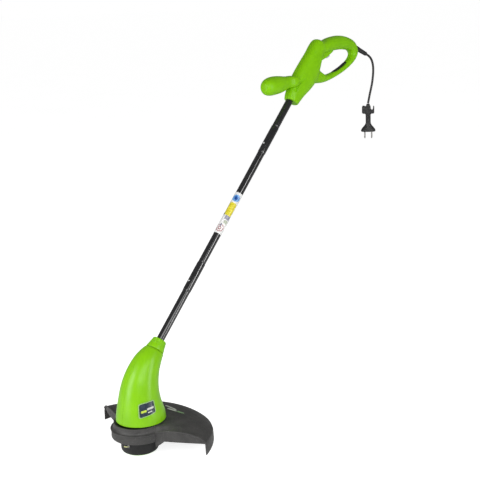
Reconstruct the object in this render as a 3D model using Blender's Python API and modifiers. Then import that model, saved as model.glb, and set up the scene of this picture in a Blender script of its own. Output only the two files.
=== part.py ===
"""Corded electric string trimmer: motor head with guard and line spool, three-piece shaft, loop handle.

Metres, +Z up. The origin is the centre of the bump knob's flat foot, +Z is the axis the spool spins
about, and the shaft rises towards +Y, where the user stands. X = 0 is the plane of symmetry.
"""

import math

import bmesh
import bpy
from mathutils import Matrix, Vector

MM = 0.001
GAP = 0.3 * MM
HALF_GAP = GAP / 2
MERGE = 0.001 * MM

# Shaft: a straight line in the plane X = 0 that meets the spool's axis at this height.
SHAFT_TILT = math.radians(45)
SHAFT_CROSSING = 156 * MM
TUBE_RADIUS = 9 * MM
TUBE_BORE = 8 * MM
SWAGED_RADIUS = 8.4 * MM
SWAGED_BORE = 7.5 * MM
SOCKET_RADIUS = 9.7 * MM
SOCKET_BORE = 8.7 * MM
SOCKETS = ((243 * MM, 320 * MM), (642 * MM, 721 * MM))
TUBE_START = 62 * MM
TUBE_END = 832 * MM
LABEL = (402 * MM, 518 * MM)
BUTTON_RADIUS = 2.8 * MM
BUTTON_RUNNING_GAP = 0.25 * MM
BUTTON_AHEAD_OF_SOCKET = 24 * MM
BUTTON_PROUD = 2.2 * MM

# Motor housing: (centre y, centre z, tilt in degrees, radius) from the base up to the neck.
HOUSING_STATIONS = (
    (8, 73, 0, 56.3),
    (8.5, 90, 2, 54.5),
    (8, 105, 4, 51),
    (8, 122, 7, 47.3),
    (10, 142, 12, 43.5),
    (16, 163, 19, 39.5),
    (26, 183, 26, 35),
    (39, 200, 33, 30.5),
    (53, 212, 40, 25.5),
    (60.5, 216.5, 44, 22.8),
)
HOUSING_WALL = 2.4 * MM
NECK = (86.4 * MM, 113 * MM)
NECK_RADII = (21.6 * MM, 16 * MM)
BADGE_LEFT = (1.08, 2.95)
BADGE_RIGHT = (1.75, 3.36)
BADGE_ANGLES = (-47.5, -1.5)
BADGE_THICKNESS = 0.9 * MM
VENT_HEIGHTS = (150 * MM, 156 * MM, 162 * MM, 168 * MM, 174 * MM)
VENT_SIZE = (26 * MM, 40 * MM, 2.4 * MM)

# Guard: a domed fan behind the head and a collar round it.
GUARD_WALL = 2.4 * MM
DOME = (
    (54.4, 70.8), (77, 70.6), (93, 69.5), (110, 67.2), (130, 62), (146, 54.3), (156, 47.5), (160, 44),
)
FRONT_RIDGE = (
    (54.4, 57.5), (77, 61.5), (93, 63.6), (110, 64.2), (130, 62.2), (146, 55.5), (156, 48.2), (160, 44),
)
FAN_EDGE = (
    (54.4, -11.5), (77, 2), (93, 5.6), (110, 8.4), (130, 11.2), (146, 13.8), (156, 15.4), (160, 16),
)
LIP_FOOT = (
    (54.4, 37.4), (77, 38), (93, 39), (110, 40), (130, 41), (146, 41), (156, 40.6), (160, 40),
)
SKIRT = ((161.2, 40), (161.8, 15.5))
RIDGE_BLEND = 14
FAN_WIDENING = 0.058
FAN_STEPS = 24

# Spool head, turned about Z.
KNOB_RADIUS = 36.6 * MM
KNOB_FOOT_RADIUS = 29 * MM
SHAFT_RADIUS = 3.5 * MM
EYELET_ANGLE = math.radians(-78)
EYELET_HEIGHT = 24.5 * MM
LATCH_ANGLE = math.radians(35)

# Motor, on the spool's axis.
FIELD_SPAN = (80 * MM, 124 * MM)
FIELD_RADIUS = 31 * MM
ARMATURE_RADIUS = 20 * MM
COMMUTATOR_SPAN = (128 * MM, 138 * MM)
COMMUTATOR_RADIUS = 10 * MM
BEARING_RADIUS = 9.5 * MM

# Loop handle: each section is an oval between its front or upper edge (y, z) and its rear or lower
# edge (y, z), with half its thickness in millimetres. The body runs from the shaft to the horn; the
# loop leaves it as the grip, turns at the back and returns as the lower bar.
BODY_SECTIONS = (
    (0.5600, 0.7320, 0.5900, 0.7115, 16.5),
    (0.5640, 0.7450, 0.6010, 0.7200, 18.0),
    (0.5745, 0.7640, 0.6180, 0.7315, 19.5),
    (0.5920, 0.7880, 0.6400, 0.7430, 20.5),
    (0.6200, 0.8160, 0.6630, 0.7570, 21.0),
    (0.6490, 0.8420, 0.6800, 0.7830, 20.5),
    (0.6710, 0.8600, 0.6890, 0.8080, 20.0),
    (0.6870, 0.8680, 0.7020, 0.8280, 18.5),
    (0.7010, 0.8650, 0.7110, 0.8400, 14.0),
)
LOOP_SECTIONS = (
    (0.6780, 0.8600, 0.6880, 0.8330, 15.0),
    (0.7080, 0.8655, 0.7130, 0.8335, 17.5),
    (0.7400, 0.8725, 0.7420, 0.8370, 18.0),
    (0.7760, 0.8750, 0.7780, 0.8388, 17.5),
    (0.8120, 0.8695, 0.8050, 0.8372, 17.0),
    (0.8430, 0.8560, 0.8230, 0.8340, 15.5),
    (0.8575, 0.8340, 0.8325, 0.8260, 13.5),
    (0.8520, 0.8140, 0.8300, 0.8190, 12.0),
    (0.8300, 0.7965, 0.8160, 0.8085, 10.5),
    (0.7950, 0.7810, 0.7870, 0.7940, 10.0),
    (0.7550, 0.7690, 0.7490, 0.7825, 10.5),
    (0.7180, 0.7610, 0.7140, 0.7790, 12.0),
    (0.6900, 0.7570, 0.6890, 0.7860, 14.5),
    (0.6620, 0.7580, 0.6650, 0.7880, 14.0),
)
BODY_RINGS = 15
LOOP_RINGS = 24
RING_POINTS = 20
OVAL_POWER = 2.4
HANDLE_WALL = 2.6 * MM
TRIGGER_PIVOT = (0.7000, 0.8440)
TRIGGER_OUTLINE = (
    (0.6905, 0.8150), (0.7000, 0.8160), (0.7230, 0.8235), (0.7420, 0.8325), (0.7495, 0.8370),
    (0.7500, 0.8470), (0.7100, 0.8475), (0.7040, 0.8485), (0.6960, 0.8485), (0.6925, 0.8430),
)
TRIGGER_HALF = 7 * MM
SWITCH_AT = (0.7305, 0.8600)
PLUNGER_Y = 0.7260
PLUNGER_SPAN = (0.8480, 0.8580)
SPRING_Y = 0.7462

# Front handle: (y, centre z, half width, half height, roundness) from its root to its tip.
FRONT_HANDLE_STATIONS = (
    (0.5900, 0.7720, 12, 14.5, 4),
    (0.5720, 0.7720, 12, 14.5, 4),
    (0.5600, 0.7720, 12.5, 14.5, 3),
    (0.5440, 0.7715, 15, 16.5, 2.3),
    (0.5260, 0.7700, 18.5, 20, 2),
    (0.5080, 0.7680, 21, 22.5, 2),
    (0.4920, 0.7670, 20.5, 22, 2),
    (0.4795, 0.7660, 17, 18.5, 2),
    (0.4730, 0.7655, 11.5, 12.5, 2),
)
FRONT_HANDLE_TIP = (0.4705, 0.7652)

# Mains cord: hand-placed route points (x, y, z) from the strain relief to the plug.
RELIEF_START = Vector((0, 0.8465, 0.8432))
RELIEF_END = Vector((0, 0.9060, 0.8195))
CORD_RADIUS = 3 * MM
CORD_ROUTE = (
    (0, 0.9063, 0.8194), (0, 0.9150, 0.8158), (-0.0002, 0.9240, 0.8110), (-0.0004, 0.9315, 0.8050),
    (-0.0007, 0.9372, 0.7975), (-0.0011, 0.9412, 0.7890), (-0.0015, 0.9435, 0.7800),
    (-0.0020, 0.9444, 0.7700), (-0.0026, 0.9442, 0.7595), (-0.0032, 0.9430, 0.7490),
    (-0.0038, 0.9412, 0.7380), (-0.0049, 0.9388, 0.7270), (-0.0061, 0.9362, 0.7160),
    (-0.0073, 0.9337, 0.7050), (-0.0085, 0.9315, 0.6940), (-0.0096, 0.9295, 0.6833),
)
CORD_POINTS = 26
PLUG_TOP = Vector((-0.0096, 0.9294, 0.6830))
PLUG_TURN = math.radians(34)
PLUG_LENGTH = 78 * MM
PIN_SPACING = 19 * MM
PIN_RADIUS = 2 * MM
PIN_LENGTH = 19 * MM
# Plug, in millimetres below its top: the outline of its flat part with the cable hooks, and its
# flare as (depth, half width, half thickness).
PLUG_OUTLINE = (
    (-3.6, -0.8), (-4.8, -4.2), (-5.8, -7.6), (-8.2, -8.2), (-10.5, -6.2), (-15, -6.2), (-17, -9.5),
    (-17, -25), (-15.5, -28), (-8, -28.5), (-7, -32), (-7, -57), (7, -57), (7, -32), (8, -28.5),
    (15.5, -28), (17, -26), (17, -9), (15.4, -6.4), (13.8, -8.4), (13.6, -15), (11, -18),
    (8.4, -17), (7.4, -13), (6.8, -8), (4.8, -4.2), (3.6, -0.8),
)
PLUG_FLARE = (
    (-40, 6.4, 6), (-54, 7.2, 6.4), (-62, 11.5, 8), (-70, 18, 11), (-74, 20, 12.4), (-78, 20, 12.4),
)

# Everything below builds the parts from these sizes.

for old in list(bpy.data.objects):
    bpy.data.objects.remove(old, do_unlink=True)

PARTS = bpy.data.collections.new("string_trimmer")
CUTTERS = bpy.data.collections.new("cutters")
bpy.context.scene.collection.children.link(PARTS)
bpy.context.scene.collection.children.link(CUTTERS)


def material(name, colour, roughness, metallic=0.0):
    made = bpy.data.materials.new(name)
    made.use_nodes = True
    shader = made.node_tree.nodes["Principled BSDF"]
    shader.inputs["Base Color"].default_value = (*colour, 1.0)
    shader.inputs["Roughness"].default_value = roughness
    shader.inputs["Metallic"].default_value = metallic
    made.diffuse_color = (*colour, 1.0)
    return made


LIME = material("lime_plastic", (0.24, 0.70, 0.005), 0.32)
GREY = material("guard_plastic", (0.065, 0.063, 0.062), 0.48)
BLACK = material("black_plastic", (0.012, 0.012, 0.013), 0.42)
GLOSS = material("black_paint", (0.006, 0.006, 0.007), 0.16)
RUBBER = material("black_rubber", (0.014, 0.014, 0.014), 0.6)
NAVY = material("badge_navy", (0.012, 0.022, 0.04), 0.3)
STEEL = material("steel", (0.55, 0.55, 0.56), 0.3, 1.0)
IRON = material("laminated_iron", (0.2, 0.2, 0.21), 0.5, 1.0)
COPPER = material("copper", (0.72, 0.32, 0.12), 0.35, 1.0)
CARBON = material("carbon", (0.03, 0.03, 0.03), 0.7)
NYLON = material("nylon_line", (0.62, 0.75, 0.06), 0.35)
LABEL_PAPER = material("label_film", (0.8, 0.8, 0.78), 0.35)


def finish(obj, name, mat, collection=None):
    """Names an object, gives it its material and puts it in its collection."""
    obj.name = name
    obj.data.name = name
    obj.data.materials.clear()
    if mat is not None:
        obj.data.materials.append(mat)
    for used in list(obj.users_collection):
        used.objects.unlink(obj)
    (collection or PARTS).objects.link(obj)
    return obj


def object_of(mesh, name, mat):
    return finish(bpy.data.objects.new(name, mesh), name, mat)


def mesh_object(name, mat, vertices, faces):
    mesh = bpy.data.meshes.new(name)
    mesh.from_pydata([tuple(v) for v in vertices], [], faces)
    work = bmesh.new()
    work.from_mesh(mesh)
    bmesh.ops.recalc_face_normals(work, faces=work.faces)
    work.to_mesh(mesh)
    work.free()
    mesh.shade_smooth()
    mesh.set_sharp_from_angle(angle=math.radians(35))
    return object_of(mesh, name, mat)


def turned(name, profile, mat, steps=32, ring=False):
    """Turns a profile of (radius, height) about Z. It runs down its outer side; a ring is closed."""
    mesh = bpy.data.meshes.new(name)
    count = len(profile)
    edges = [(i, i + 1) for i in range(count - 1)]
    if ring:
        edges.append((count - 1, 0))
    mesh.from_pydata([(r, 0, z) for r, z in profile], edges, [])
    obj = object_of(mesh, name, mat)
    screw = obj.modifiers.new("turn", "SCREW")
    screw.axis = "Z"
    screw.angle = math.tau
    screw.steps = steps
    screw.render_steps = steps
    screw.use_merge_vertices = True
    screw.merge_threshold = MERGE
    screw.use_smooth_shade = True
    return obj


def sleeve(name, inner, outer, low, high, mat, steps=32):
    profile = [(outer, high), (outer, low), (inner, low), (inner, high)]
    return turned(name, profile, mat, steps, ring=True)


def rod(name, radius, low, high, mat, steps=24):
    return turned(name, [(0, high), (radius, high), (radius, low), (0, low)], mat, steps)


def box(name, size, centre, mat, bevel=0.0):
    bpy.ops.mesh.primitive_cube_add(size=1)
    obj = bpy.context.active_object
    for vertex in obj.data.vertices:
        vertex.co = Vector(a * b for a, b in zip(vertex.co, size))
    obj.location = centre
    finish(obj, name, mat)
    if bevel:
        round_edges(obj, bevel)
    return obj


def round_edges(obj, width, segments=2):
    bevel = obj.modifiers.new("round", "BEVEL")
    bevel.width = width
    bevel.segments = segments
    bevel.limit_method = "ANGLE"
    return bevel


def boolean(obj, other, operation="DIFFERENCE"):
    change = obj.modifiers.new(operation.lower(), "BOOLEAN")
    change.object = other
    change.operation = operation
    change.solver = "EXACT"


def as_cutter(obj):
    finish(obj, obj.name, None, CUTTERS)
    obj.hide_render = True
    obj.display_type = "WIRE"
    return obj


def on_shaft(along, ahead=0.0):
    """A point this far up the shaft from the spool's axis and this far off its upper, front side."""
    sine, cosine = math.sin(SHAFT_TILT), math.cos(SHAFT_TILT)
    return Vector((0, along * sine - ahead * cosine, SHAFT_CROSSING + along * cosine + ahead * sine))


def lay_on_shaft(obj, along=0.0):
    """Turns an object modelled along +Z to run up the shaft."""
    obj.location = on_shaft(along)
    obj.rotation_euler = (-SHAFT_TILT, 0, 0)
    return obj


def smooth(points, count):
    """Evenly read points of a Catmull-Rom curve through these points."""
    points = [Vector(p) for p in points]
    ends = [2 * points[0] - points[1], *points, 2 * points[-1] - points[-2]]
    read = []
    for i in range(count):
        place = i * (len(points) - 1) / (count - 1)
        k = min(int(place), len(points) - 2)
        t = place - k
        a, b, c, d = ends[k : k + 4]
        bend = (2 * a - 5 * b + 4 * c - d) * t * t + (3 * b - a - 3 * c + d) * t**3
        read.append(0.5 * (2 * b + (c - a) * t + bend))
    return read


def table(rows, at):
    """The second column of a table read at a value of its first."""
    for (a, low), (b, high) in zip(rows, rows[1:]):
        if at <= b:
            return low + (high - low) * (at - a) / (b - a)
    return rows[-1][1]


def tube_curve(name, points, radius, mat, resolution=2):
    """A round tube along a polyline, as a mesh with welded caps."""
    curve = bpy.data.curves.new(name, "CURVE")
    curve.dimensions = "3D"
    curve.bevel_depth = radius
    curve.bevel_resolution = resolution
    curve.use_fill_caps = True
    spline = curve.splines.new("POLY")
    spline.points.add(len(points) - 1)
    for point, place in zip(spline.points, points):
        point.co = (*place, 1)
    return finish(bpy.data.objects.new(name, curve), name, mat)


def plate(name, outline, half, mat, rounding=0.0):
    """A flat piece with its outline in (y, z), as a mesh: a 2D curve, extruded to both sides of X = 0."""
    curve = bpy.data.curves.new(name, "CURVE")
    curve.dimensions = "2D"
    curve.fill_mode = "BOTH"
    curve.extrude = half - rounding
    curve.bevel_depth = rounding
    curve.bevel_resolution = 2
    curve.offset = -rounding
    spline = curve.splines.new("POLY")
    spline.points.add(len(outline) - 1)
    for point, place in zip(spline.points, outline):
        point.co = (*place, 0, 1)
    spline.use_cyclic_u = True
    flat = bpy.data.objects.new(name, curve)
    bpy.context.scene.collection.objects.link(flat)
    flat.matrix_world = Matrix(((0, 0, 1, 0), (1, 0, 0, 0), (0, 1, 0, 0), (0, 0, 0, 1)))
    return solid_from(flat, name, mat)


def solid_from(curve_object, name, mat):
    """Turns a curve object into a welded mesh in world coordinates and removes the curve."""
    bpy.context.view_layer.update()
    evaluated = curve_object.evaluated_get(bpy.context.evaluated_depsgraph_get())
    mesh = bpy.data.meshes.new_from_object(evaluated)
    mesh.transform(curve_object.matrix_world)
    work = bmesh.new()
    work.from_mesh(mesh)
    bmesh.ops.remove_doubles(work, verts=work.verts, dist=0.01 * MM)
    bmesh.ops.recalc_face_normals(work, faces=work.faces)
    work.to_mesh(mesh)
    work.free()
    bpy.data.objects.remove(curve_object, do_unlink=True)
    return object_of(mesh, name, mat)


def loft(name, rings, mat, start_cap=True, end_point=None):
    """A closed skin over rings of equal count, capped flat at the start; the end is flat or a point."""
    count = len(rings[0])
    vertices = [v for ring in rings for v in ring]
    faces = []
    for k in range(len(rings) - 1):
        for i in range(count):
            j = (i + 1) % count
            faces.append((k * count + i, k * count + j, (k + 1) * count + j, (k + 1) * count + i))
    if start_cap:
        faces.append(tuple(range(count)))
    last = (len(rings) - 1) * count
    if end_point is None:
        faces.append(tuple(range(last, last + count)))
    else:
        vertices.append(end_point)
        faces += [(last + i, last + (i + 1) % count, len(vertices) - 1) for i in range(count)]
    return mesh_object(name, mat, vertices, faces)


# ---------------------------------------------------------------- motor head


def housing_point(station, angle, outwards=0.0):
    """A point of the housing's outer skin: station counts along HOUSING_STATIONS, angle 0 faces +X."""
    stations = [Vector((y, z, tilt, radius)) for y, z, tilt, radius in HOUSING_STATIONS]
    k = min(int(station), len(stations) - 2)
    t = station - k
    before = stations[max(k - 1, 0)]
    a, b = stations[k], stations[k + 1]
    after = stations[min(k + 2, len(stations) - 1)]
    bend = (2 * before - 5 * a + 4 * b - after) * t * t + (3 * a - before - 3 * b + after) * t**3
    y, z, tilt, radius = 0.5 * (2 * a + (b - before) * t + bend)
    radius = radius * MM + outwards
    tilt = math.radians(tilt)
    across = radius * math.sin(angle)
    return Vector(
        (
            radius * math.cos(angle),
            y * MM + across * math.cos(tilt),
            z * MM - across * math.sin(tilt),
        )
    )


def housing_half(name, side):
    """One half of the motor housing: an open half skin, thickened inwards, with vent slots at the back."""
    rows, columns = 14, 14
    overlap = math.radians(3)
    vertices = []
    for row in range(rows + 1):
        station = row * (len(HOUSING_STATIONS) - 1) / rows
        for column in range(columns + 1):
            angle = (math.pi + 2 * overlap) * (column / columns - 0.5)
            point = housing_point(station, angle)
            point.x *= side
            vertices.append(point)
    faces = []
    for row in range(rows):
        for column in range(columns):
            a = row * (columns + 1) + column
            corners = (a, a + 1, a + columns + 2, a + columns + 1)
            faces.append(corners if side > 0 else corners[::-1])
    mesh = bpy.data.meshes.new(name)
    mesh.from_pydata([tuple(v) for v in vertices], [], faces)
    mesh.shade_smooth()
    obj = object_of(mesh, name, LIME)
    wall = obj.modifiers.new("wall", "SOLIDIFY")
    wall.thickness = HOUSING_WALL
    wall.offset = -1
    wall.use_even_offset = True
    half = box(f"{name}_other_side", (0.05, 0.2, 0.22), (-side * (0.025 - HALF_GAP), 0.02, 0.15), None)
    boolean(obj, as_cutter(half))
    for height in VENT_HEIGHTS:
        slot = box(f"{name}_vent", VENT_SIZE, (side * 16.3 * MM, 66 * MM, height), None)
        slot.rotation_euler = (math.radians(-25), 0, 0)
        boolean(obj, as_cutter(slot))
    return obj


def badge():
    """A curved plate that follows the housing's front right side, standing just off its skin."""
    cells = 5
    vertices = []
    first, last = (math.radians(a) for a in BADGE_ANGLES)
    for lift in (GAP, GAP + BADGE_THICKNESS):
        for row in range(cells + 1):
            for column in range(cells + 1):
                low = BADGE_LEFT[0] + (BADGE_RIGHT[0] - BADGE_LEFT[0]) * column / cells
                high = BADGE_LEFT[1] + (BADGE_RIGHT[1] - BADGE_LEFT[1]) * column / cells
                station = low + (high - low) * row / cells
                angle = first + (last - first) * column / cells
                vertices.append(housing_point(station, angle, lift))
    side = cells + 1
    faces = []
    for row in range(cells):
        for column in range(cells):
            a = row * side + column
            inner = (a, a + 1, a + side + 1, a + side)
            faces.append(inner[::-1])
            faces.append(tuple(i + side * side for i in inner))
    border = [i for i in range(side)]
    border += [row * side + cells for row in range(1, side)]
    border += [cells * side + column for column in range(cells - 1, -1, -1)]
    border += [row * side for row in range(cells - 1, 0, -1)]
    for a, b in zip(border, border[1:] + border[:1]):
        faces.append((a, b, b + side * side, a + side * side))
    return mesh_object("badge_plate", NAVY, vertices, faces)


def neck_sleeve():
    """The ribbed green sleeve that clamps the shaft into the housing's neck."""
    low, high = NECK
    wide, narrow = NECK_RADII
    bore = TUBE_RADIUS + GAP
    profile = [(narrow - 1.2 * MM, high), (narrow, high - 1.2 * MM)]
    ridges = 3
    for i in range(ridges):
        along = high - (5 + 4 * i) * MM
        radius = narrow + (wide - narrow) * (high - along) / (high - low)
        profile += [(radius, along + 1.2 * MM), (radius - 0.8 * MM, along + 0.6 * MM)]
        profile += [(radius - 0.8 * MM, along - 0.6 * MM), (radius + 0.3 * MM, along - 1.2 * MM)]
    profile += [(wide, low + 1.5 * MM), (wide - 1.2 * MM, low), (bore, low), (bore, high)]
    return lay_on_shaft(turned("neck_sleeve", profile, LIME, 24, ring=True))


def guard():
    """The domed guard: a thickened fan joined to a turned collar, with a rib beside the spool."""
    radii = [r for r, _ in DOME]

    def polar(radius, degrees, height):
        turn = math.radians(degrees)
        wider = 1 + FAN_WIDENING * (radius / radii[-1]) ** 2
        return Vector((radius * wider * math.cos(turn), radius * math.sin(turn), height)) * MM

    def height(radius, from_edge):
        rise = min(from_edge / RIDGE_BLEND, 1)
        rise = rise * rise * (3 - 2 * rise)
        ridge = table(FRONT_RIDGE, radius)
        return ridge + (table(DOME, radius) - ridge) * rise

    lip = [polar(r, table(FAN_EDGE, r) + 0.2, table(LIP_FOOT, r)) for r in radii[:-1]]
    corner = polar(SKIRT[0][0], table(FAN_EDGE, radii[-1]), SKIRT[0][1])
    columns = [[*lip, corner]]
    shares = [0, 0.45 / FAN_STEPS, *[step / FAN_STEPS for step in range(1, FAN_STEPS)]]
    shares += [1 - 0.45 / FAN_STEPS, 1]
    for share in shares:
        column = []
        for r in radii:
            edge = table(FAN_EDGE, r)
            turn = (180 - 2 * edge) * share
            column.append(polar(r, edge + turn, height(r, min(turn, 180 - 2 * edge - turn))))
        columns.append(column)
    columns.append([Vector((-p.x, p.y, p.z)) for p in columns[0]])
    vertices = [p for column in columns for p in column]
    rows = len(radii)
    faces = []
    for c in range(len(columns) - 1):
        for r in range(rows - 1):
            a = c * rows + r
            faces.append((a, a + 1, a + rows + 1, a + rows))
    # The skirt hangs from the rim; it is deepest at the two wing tips.
    edge = table(FAN_EDGE, radii[-1])
    for level, (radius, foot) in enumerate(SKIRT):
        for share in shares:
            lift = (14 - 14 * abs(2 * share - 1) ** 2) * level
            vertices.append(polar(radius, edge + (180 - 2 * edge) * share, foot + lift))
    base = len(columns) * rows
    span = len(shares)
    for step in range(span - 1):
        rim = (step + 1) * rows + rows - 1
        faces.append((rim, base + step, base + step + 1, rim + rows))
        faces.append((base + step, base + span + step, base + span + step + 1, base + step + 1))
    fan = mesh_object("guard", GREY, vertices, faces)
    work = bmesh.new()
    work.from_mesh(fan.data)
    bmesh.ops.remove_doubles(work, verts=work.verts, dist=0.01 * MM)
    bmesh.ops.recalc_face_normals(work, faces=work.faces)
    if sum(face.normal.z * face.calc_area() for face in work.faces) < 0:
        bmesh.ops.reverse_faces(work, faces=work.faces)
    work.to_mesh(fan.data)
    work.free()
    wall = fan.modifiers.new("wall", "SOLIDIFY")
    wall.thickness = GUARD_WALL
    wall.offset = -1
    wall.use_even_offset = True
    collar_profile = [
        (55.6, 71.4), (55.6, 67), (56.9, 62), (60.6, 58.2), (62.6, 56.5), (61.8, 54.5), (62, 39),
        (60.5, 37), (46, 37), (44, 38.2), (44, 40.4), (59, 40.4), (59, 54.5), (57.4, 57.5),
        (53.7, 62.5), (53, 67), (53, 71.4),
    ]
    collar = turned("guard_collar", [(r * MM, z * MM) for r, z in collar_profile], None, 44, ring=True)
    boolean(fan, as_cutter(collar), "UNION")
    rib = box("guard_rib", (18 * MM, 2.6 * MM, 15.5 * MM), (67.6 * MM, -2.8 * MM, 31.8 * MM), None)
    for vertex in rib.data.vertices:
        if vertex.co.x > 0 and vertex.co.z < 0:
            vertex.co.z += 12 * MM
    rib.rotation_euler = (0, 0, math.radians(40))
    boolean(fan, as_cutter(rib), "UNION")
    return fan


def line_cutter():
    """The steel blade under the left wing that trims the line."""
    x, y = -134 * MM, 32.2 * MM
    blade = box("line_cutter", (26 * MM, 1.2 * MM, 20 * MM), (x, y, 43 * MM), STEEL)
    blade.rotation_euler = (0, 0, math.radians(-27))
    work = bmesh.new()
    work.from_mesh(blade.data)
    for vertex in work.verts:
        if vertex.co.z < 0 and vertex.co.x > 0:
            vertex.co.x -= 7 * MM
    work.to_mesh(blade.data)
    work.free()
    return blade


def spool_head():
    """Hub, spool, winding, cover, knob and spring, all turned about Z."""
    bore = SHAFT_RADIUS + 0.05 * MM
    hub = [
        (7.5, 46), (7.5, 42.6), (39.5, 42.6), (41.2, 41), (41.2, 36.6), (39, 36.6), (39, 34),
        (4.7, 34), (4.7, 12.5), (bore / MM, 12.5), (bore / MM, 46),
    ]
    turned("spool_hub", [(r * MM, z * MM) for r, z in hub], BLACK, 28, ring=True)

    cover = [
        (41.6, 36.2), (42.2, 30), (42.2, 10), (41.5, 6.4), (39.8, 3.8), (38, 2.9), (37.2, 2.9),
        (37.2, 4.8), (39.6, 7.4), (40.2, 11), (40.2, 30), (39.6, 36.2),
    ]
    shell = turned("spool_cover", [(r * MM, z * MM) for r, z in cover], BLACK, 40, ring=True)
    for turn in (0, math.pi):
        angle = EYELET_ANGLE + turn
        hole = rod("eyelet_hole", 3.6 * MM, 30 * MM, 50 * MM, None, 16)
        hole.rotation_euler = (0, math.pi / 2, angle)
        hole.location = (0, 0, EYELET_HEIGHT)
        boolean(shell, as_cutter(hole))
        angle = LATCH_ANGLE + turn
        window = box("latch_window", (10 * MM, 13 * MM, 10 * MM), (0, 0, 0), None)
        window.location = (41.2 * MM * math.cos(angle), 41.2 * MM * math.sin(angle), 21 * MM)
        window.rotation_euler = (0, 0, angle)
        boolean(shell, as_cutter(window))

    edge, foot = KNOB_RADIUS / MM, KNOB_FOOT_RADIUS / MM
    knob = [(0, 9.2), (36, 9.2), (edge, 8.4), (edge, 2.6), (35.8, 1.2), (33.5, 0.3), (foot, 0), (0, 0)]
    turned("bump_knob", [(r * MM, z * MM) for r, z in knob], LIME, 40)

    spool = [
        (32.5, 28.5), (32.5, 26.5), (15, 26.5), (15, 11.5), (32.5, 11.5), (32.5, 9.8),
        (5, 9.8), (5, 28.5),
    ]
    turned("line_spool", [(r * MM, z * MM) for r, z in spool], GREY, 28, ring=True)
    winding = [(29, 26.2), (30.5, 24), (30.5, 14), (29, 11.8), (15.3, 11.8), (15.3, 26.2)]
    turned("line_winding", [(r * MM, z * MM) for r, z in winding], NYLON, 28, ring=True)

    turns, per_turn, wire = 3.0, 12, 0.6 * MM
    low, high = 28.5 * MM + GAP + wire, 34 * MM - GAP - wire
    count = int(turns * per_turn)
    coil = []
    for i in range(count + 1):
        angle = math.tau * i / per_turn
        height = low + (high - low) * i / count
        coil.append((12 * MM * math.cos(angle), 12 * MM * math.sin(angle), height))
    tube_curve("feed_spring", coil, wire, STEEL)

    for number, turn in ((1, 0), (2, math.pi)):
        eyelet(number, EYELET_ANGLE + turn)
        latch(number, LATCH_ANGLE + turn)


def eyelet(number, angle):
    """A flanged metal eyelet in the cover's wall and the stub of line that comes out of it."""
    r = 42.2 * MM
    profile = [
        (2.0 * MM, r + 1.4 * MM), (3.9 * MM, r + 1.0 * MM), (3.9 * MM, r + 0.4 * MM),
        (3.3 * MM, r + 0.3 * MM), (3.3 * MM, r - 3.4 * MM), (1.8 * MM, r - 3.4 * MM),
    ]
    ring = turned(f"line_eyelet_{number}", profile, STEEL, 16, ring=True)
    ring.rotation_euler = (0, math.pi / 2, angle)
    ring.location = (0, 0, EYELET_HEIGHT)
    spin = Matrix.Rotation(angle, 4, "Z")
    bend = [(37, 0, 0), (42, 0, 0), (44.6, -0.6, 0), (46.6, -2.4, 0), (47.4, -5, 0.2), (47.2, -8.3, 0.4)]
    places = [spin @ (Vector(p) * MM + Vector((0, 0, EYELET_HEIGHT))) for p in bend]
    tube_curve(f"cutting_line_{number}", places, 1.2 * MM, NYLON)


def latch(number, angle):
    """A press tab that locks the cover on the hub; it sits in a window of the cover."""
    tab = box(f"cover_latch_{number}", (3.2 * MM, 12 * MM, 9 * MM), (0, 0, 0), BLACK, 0.6 * MM)
    reach = 41.5 * MM
    tab.location = (reach * math.cos(angle), reach * math.sin(angle), 21 * MM)
    tab.rotation_euler = (0, 0, angle)


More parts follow.
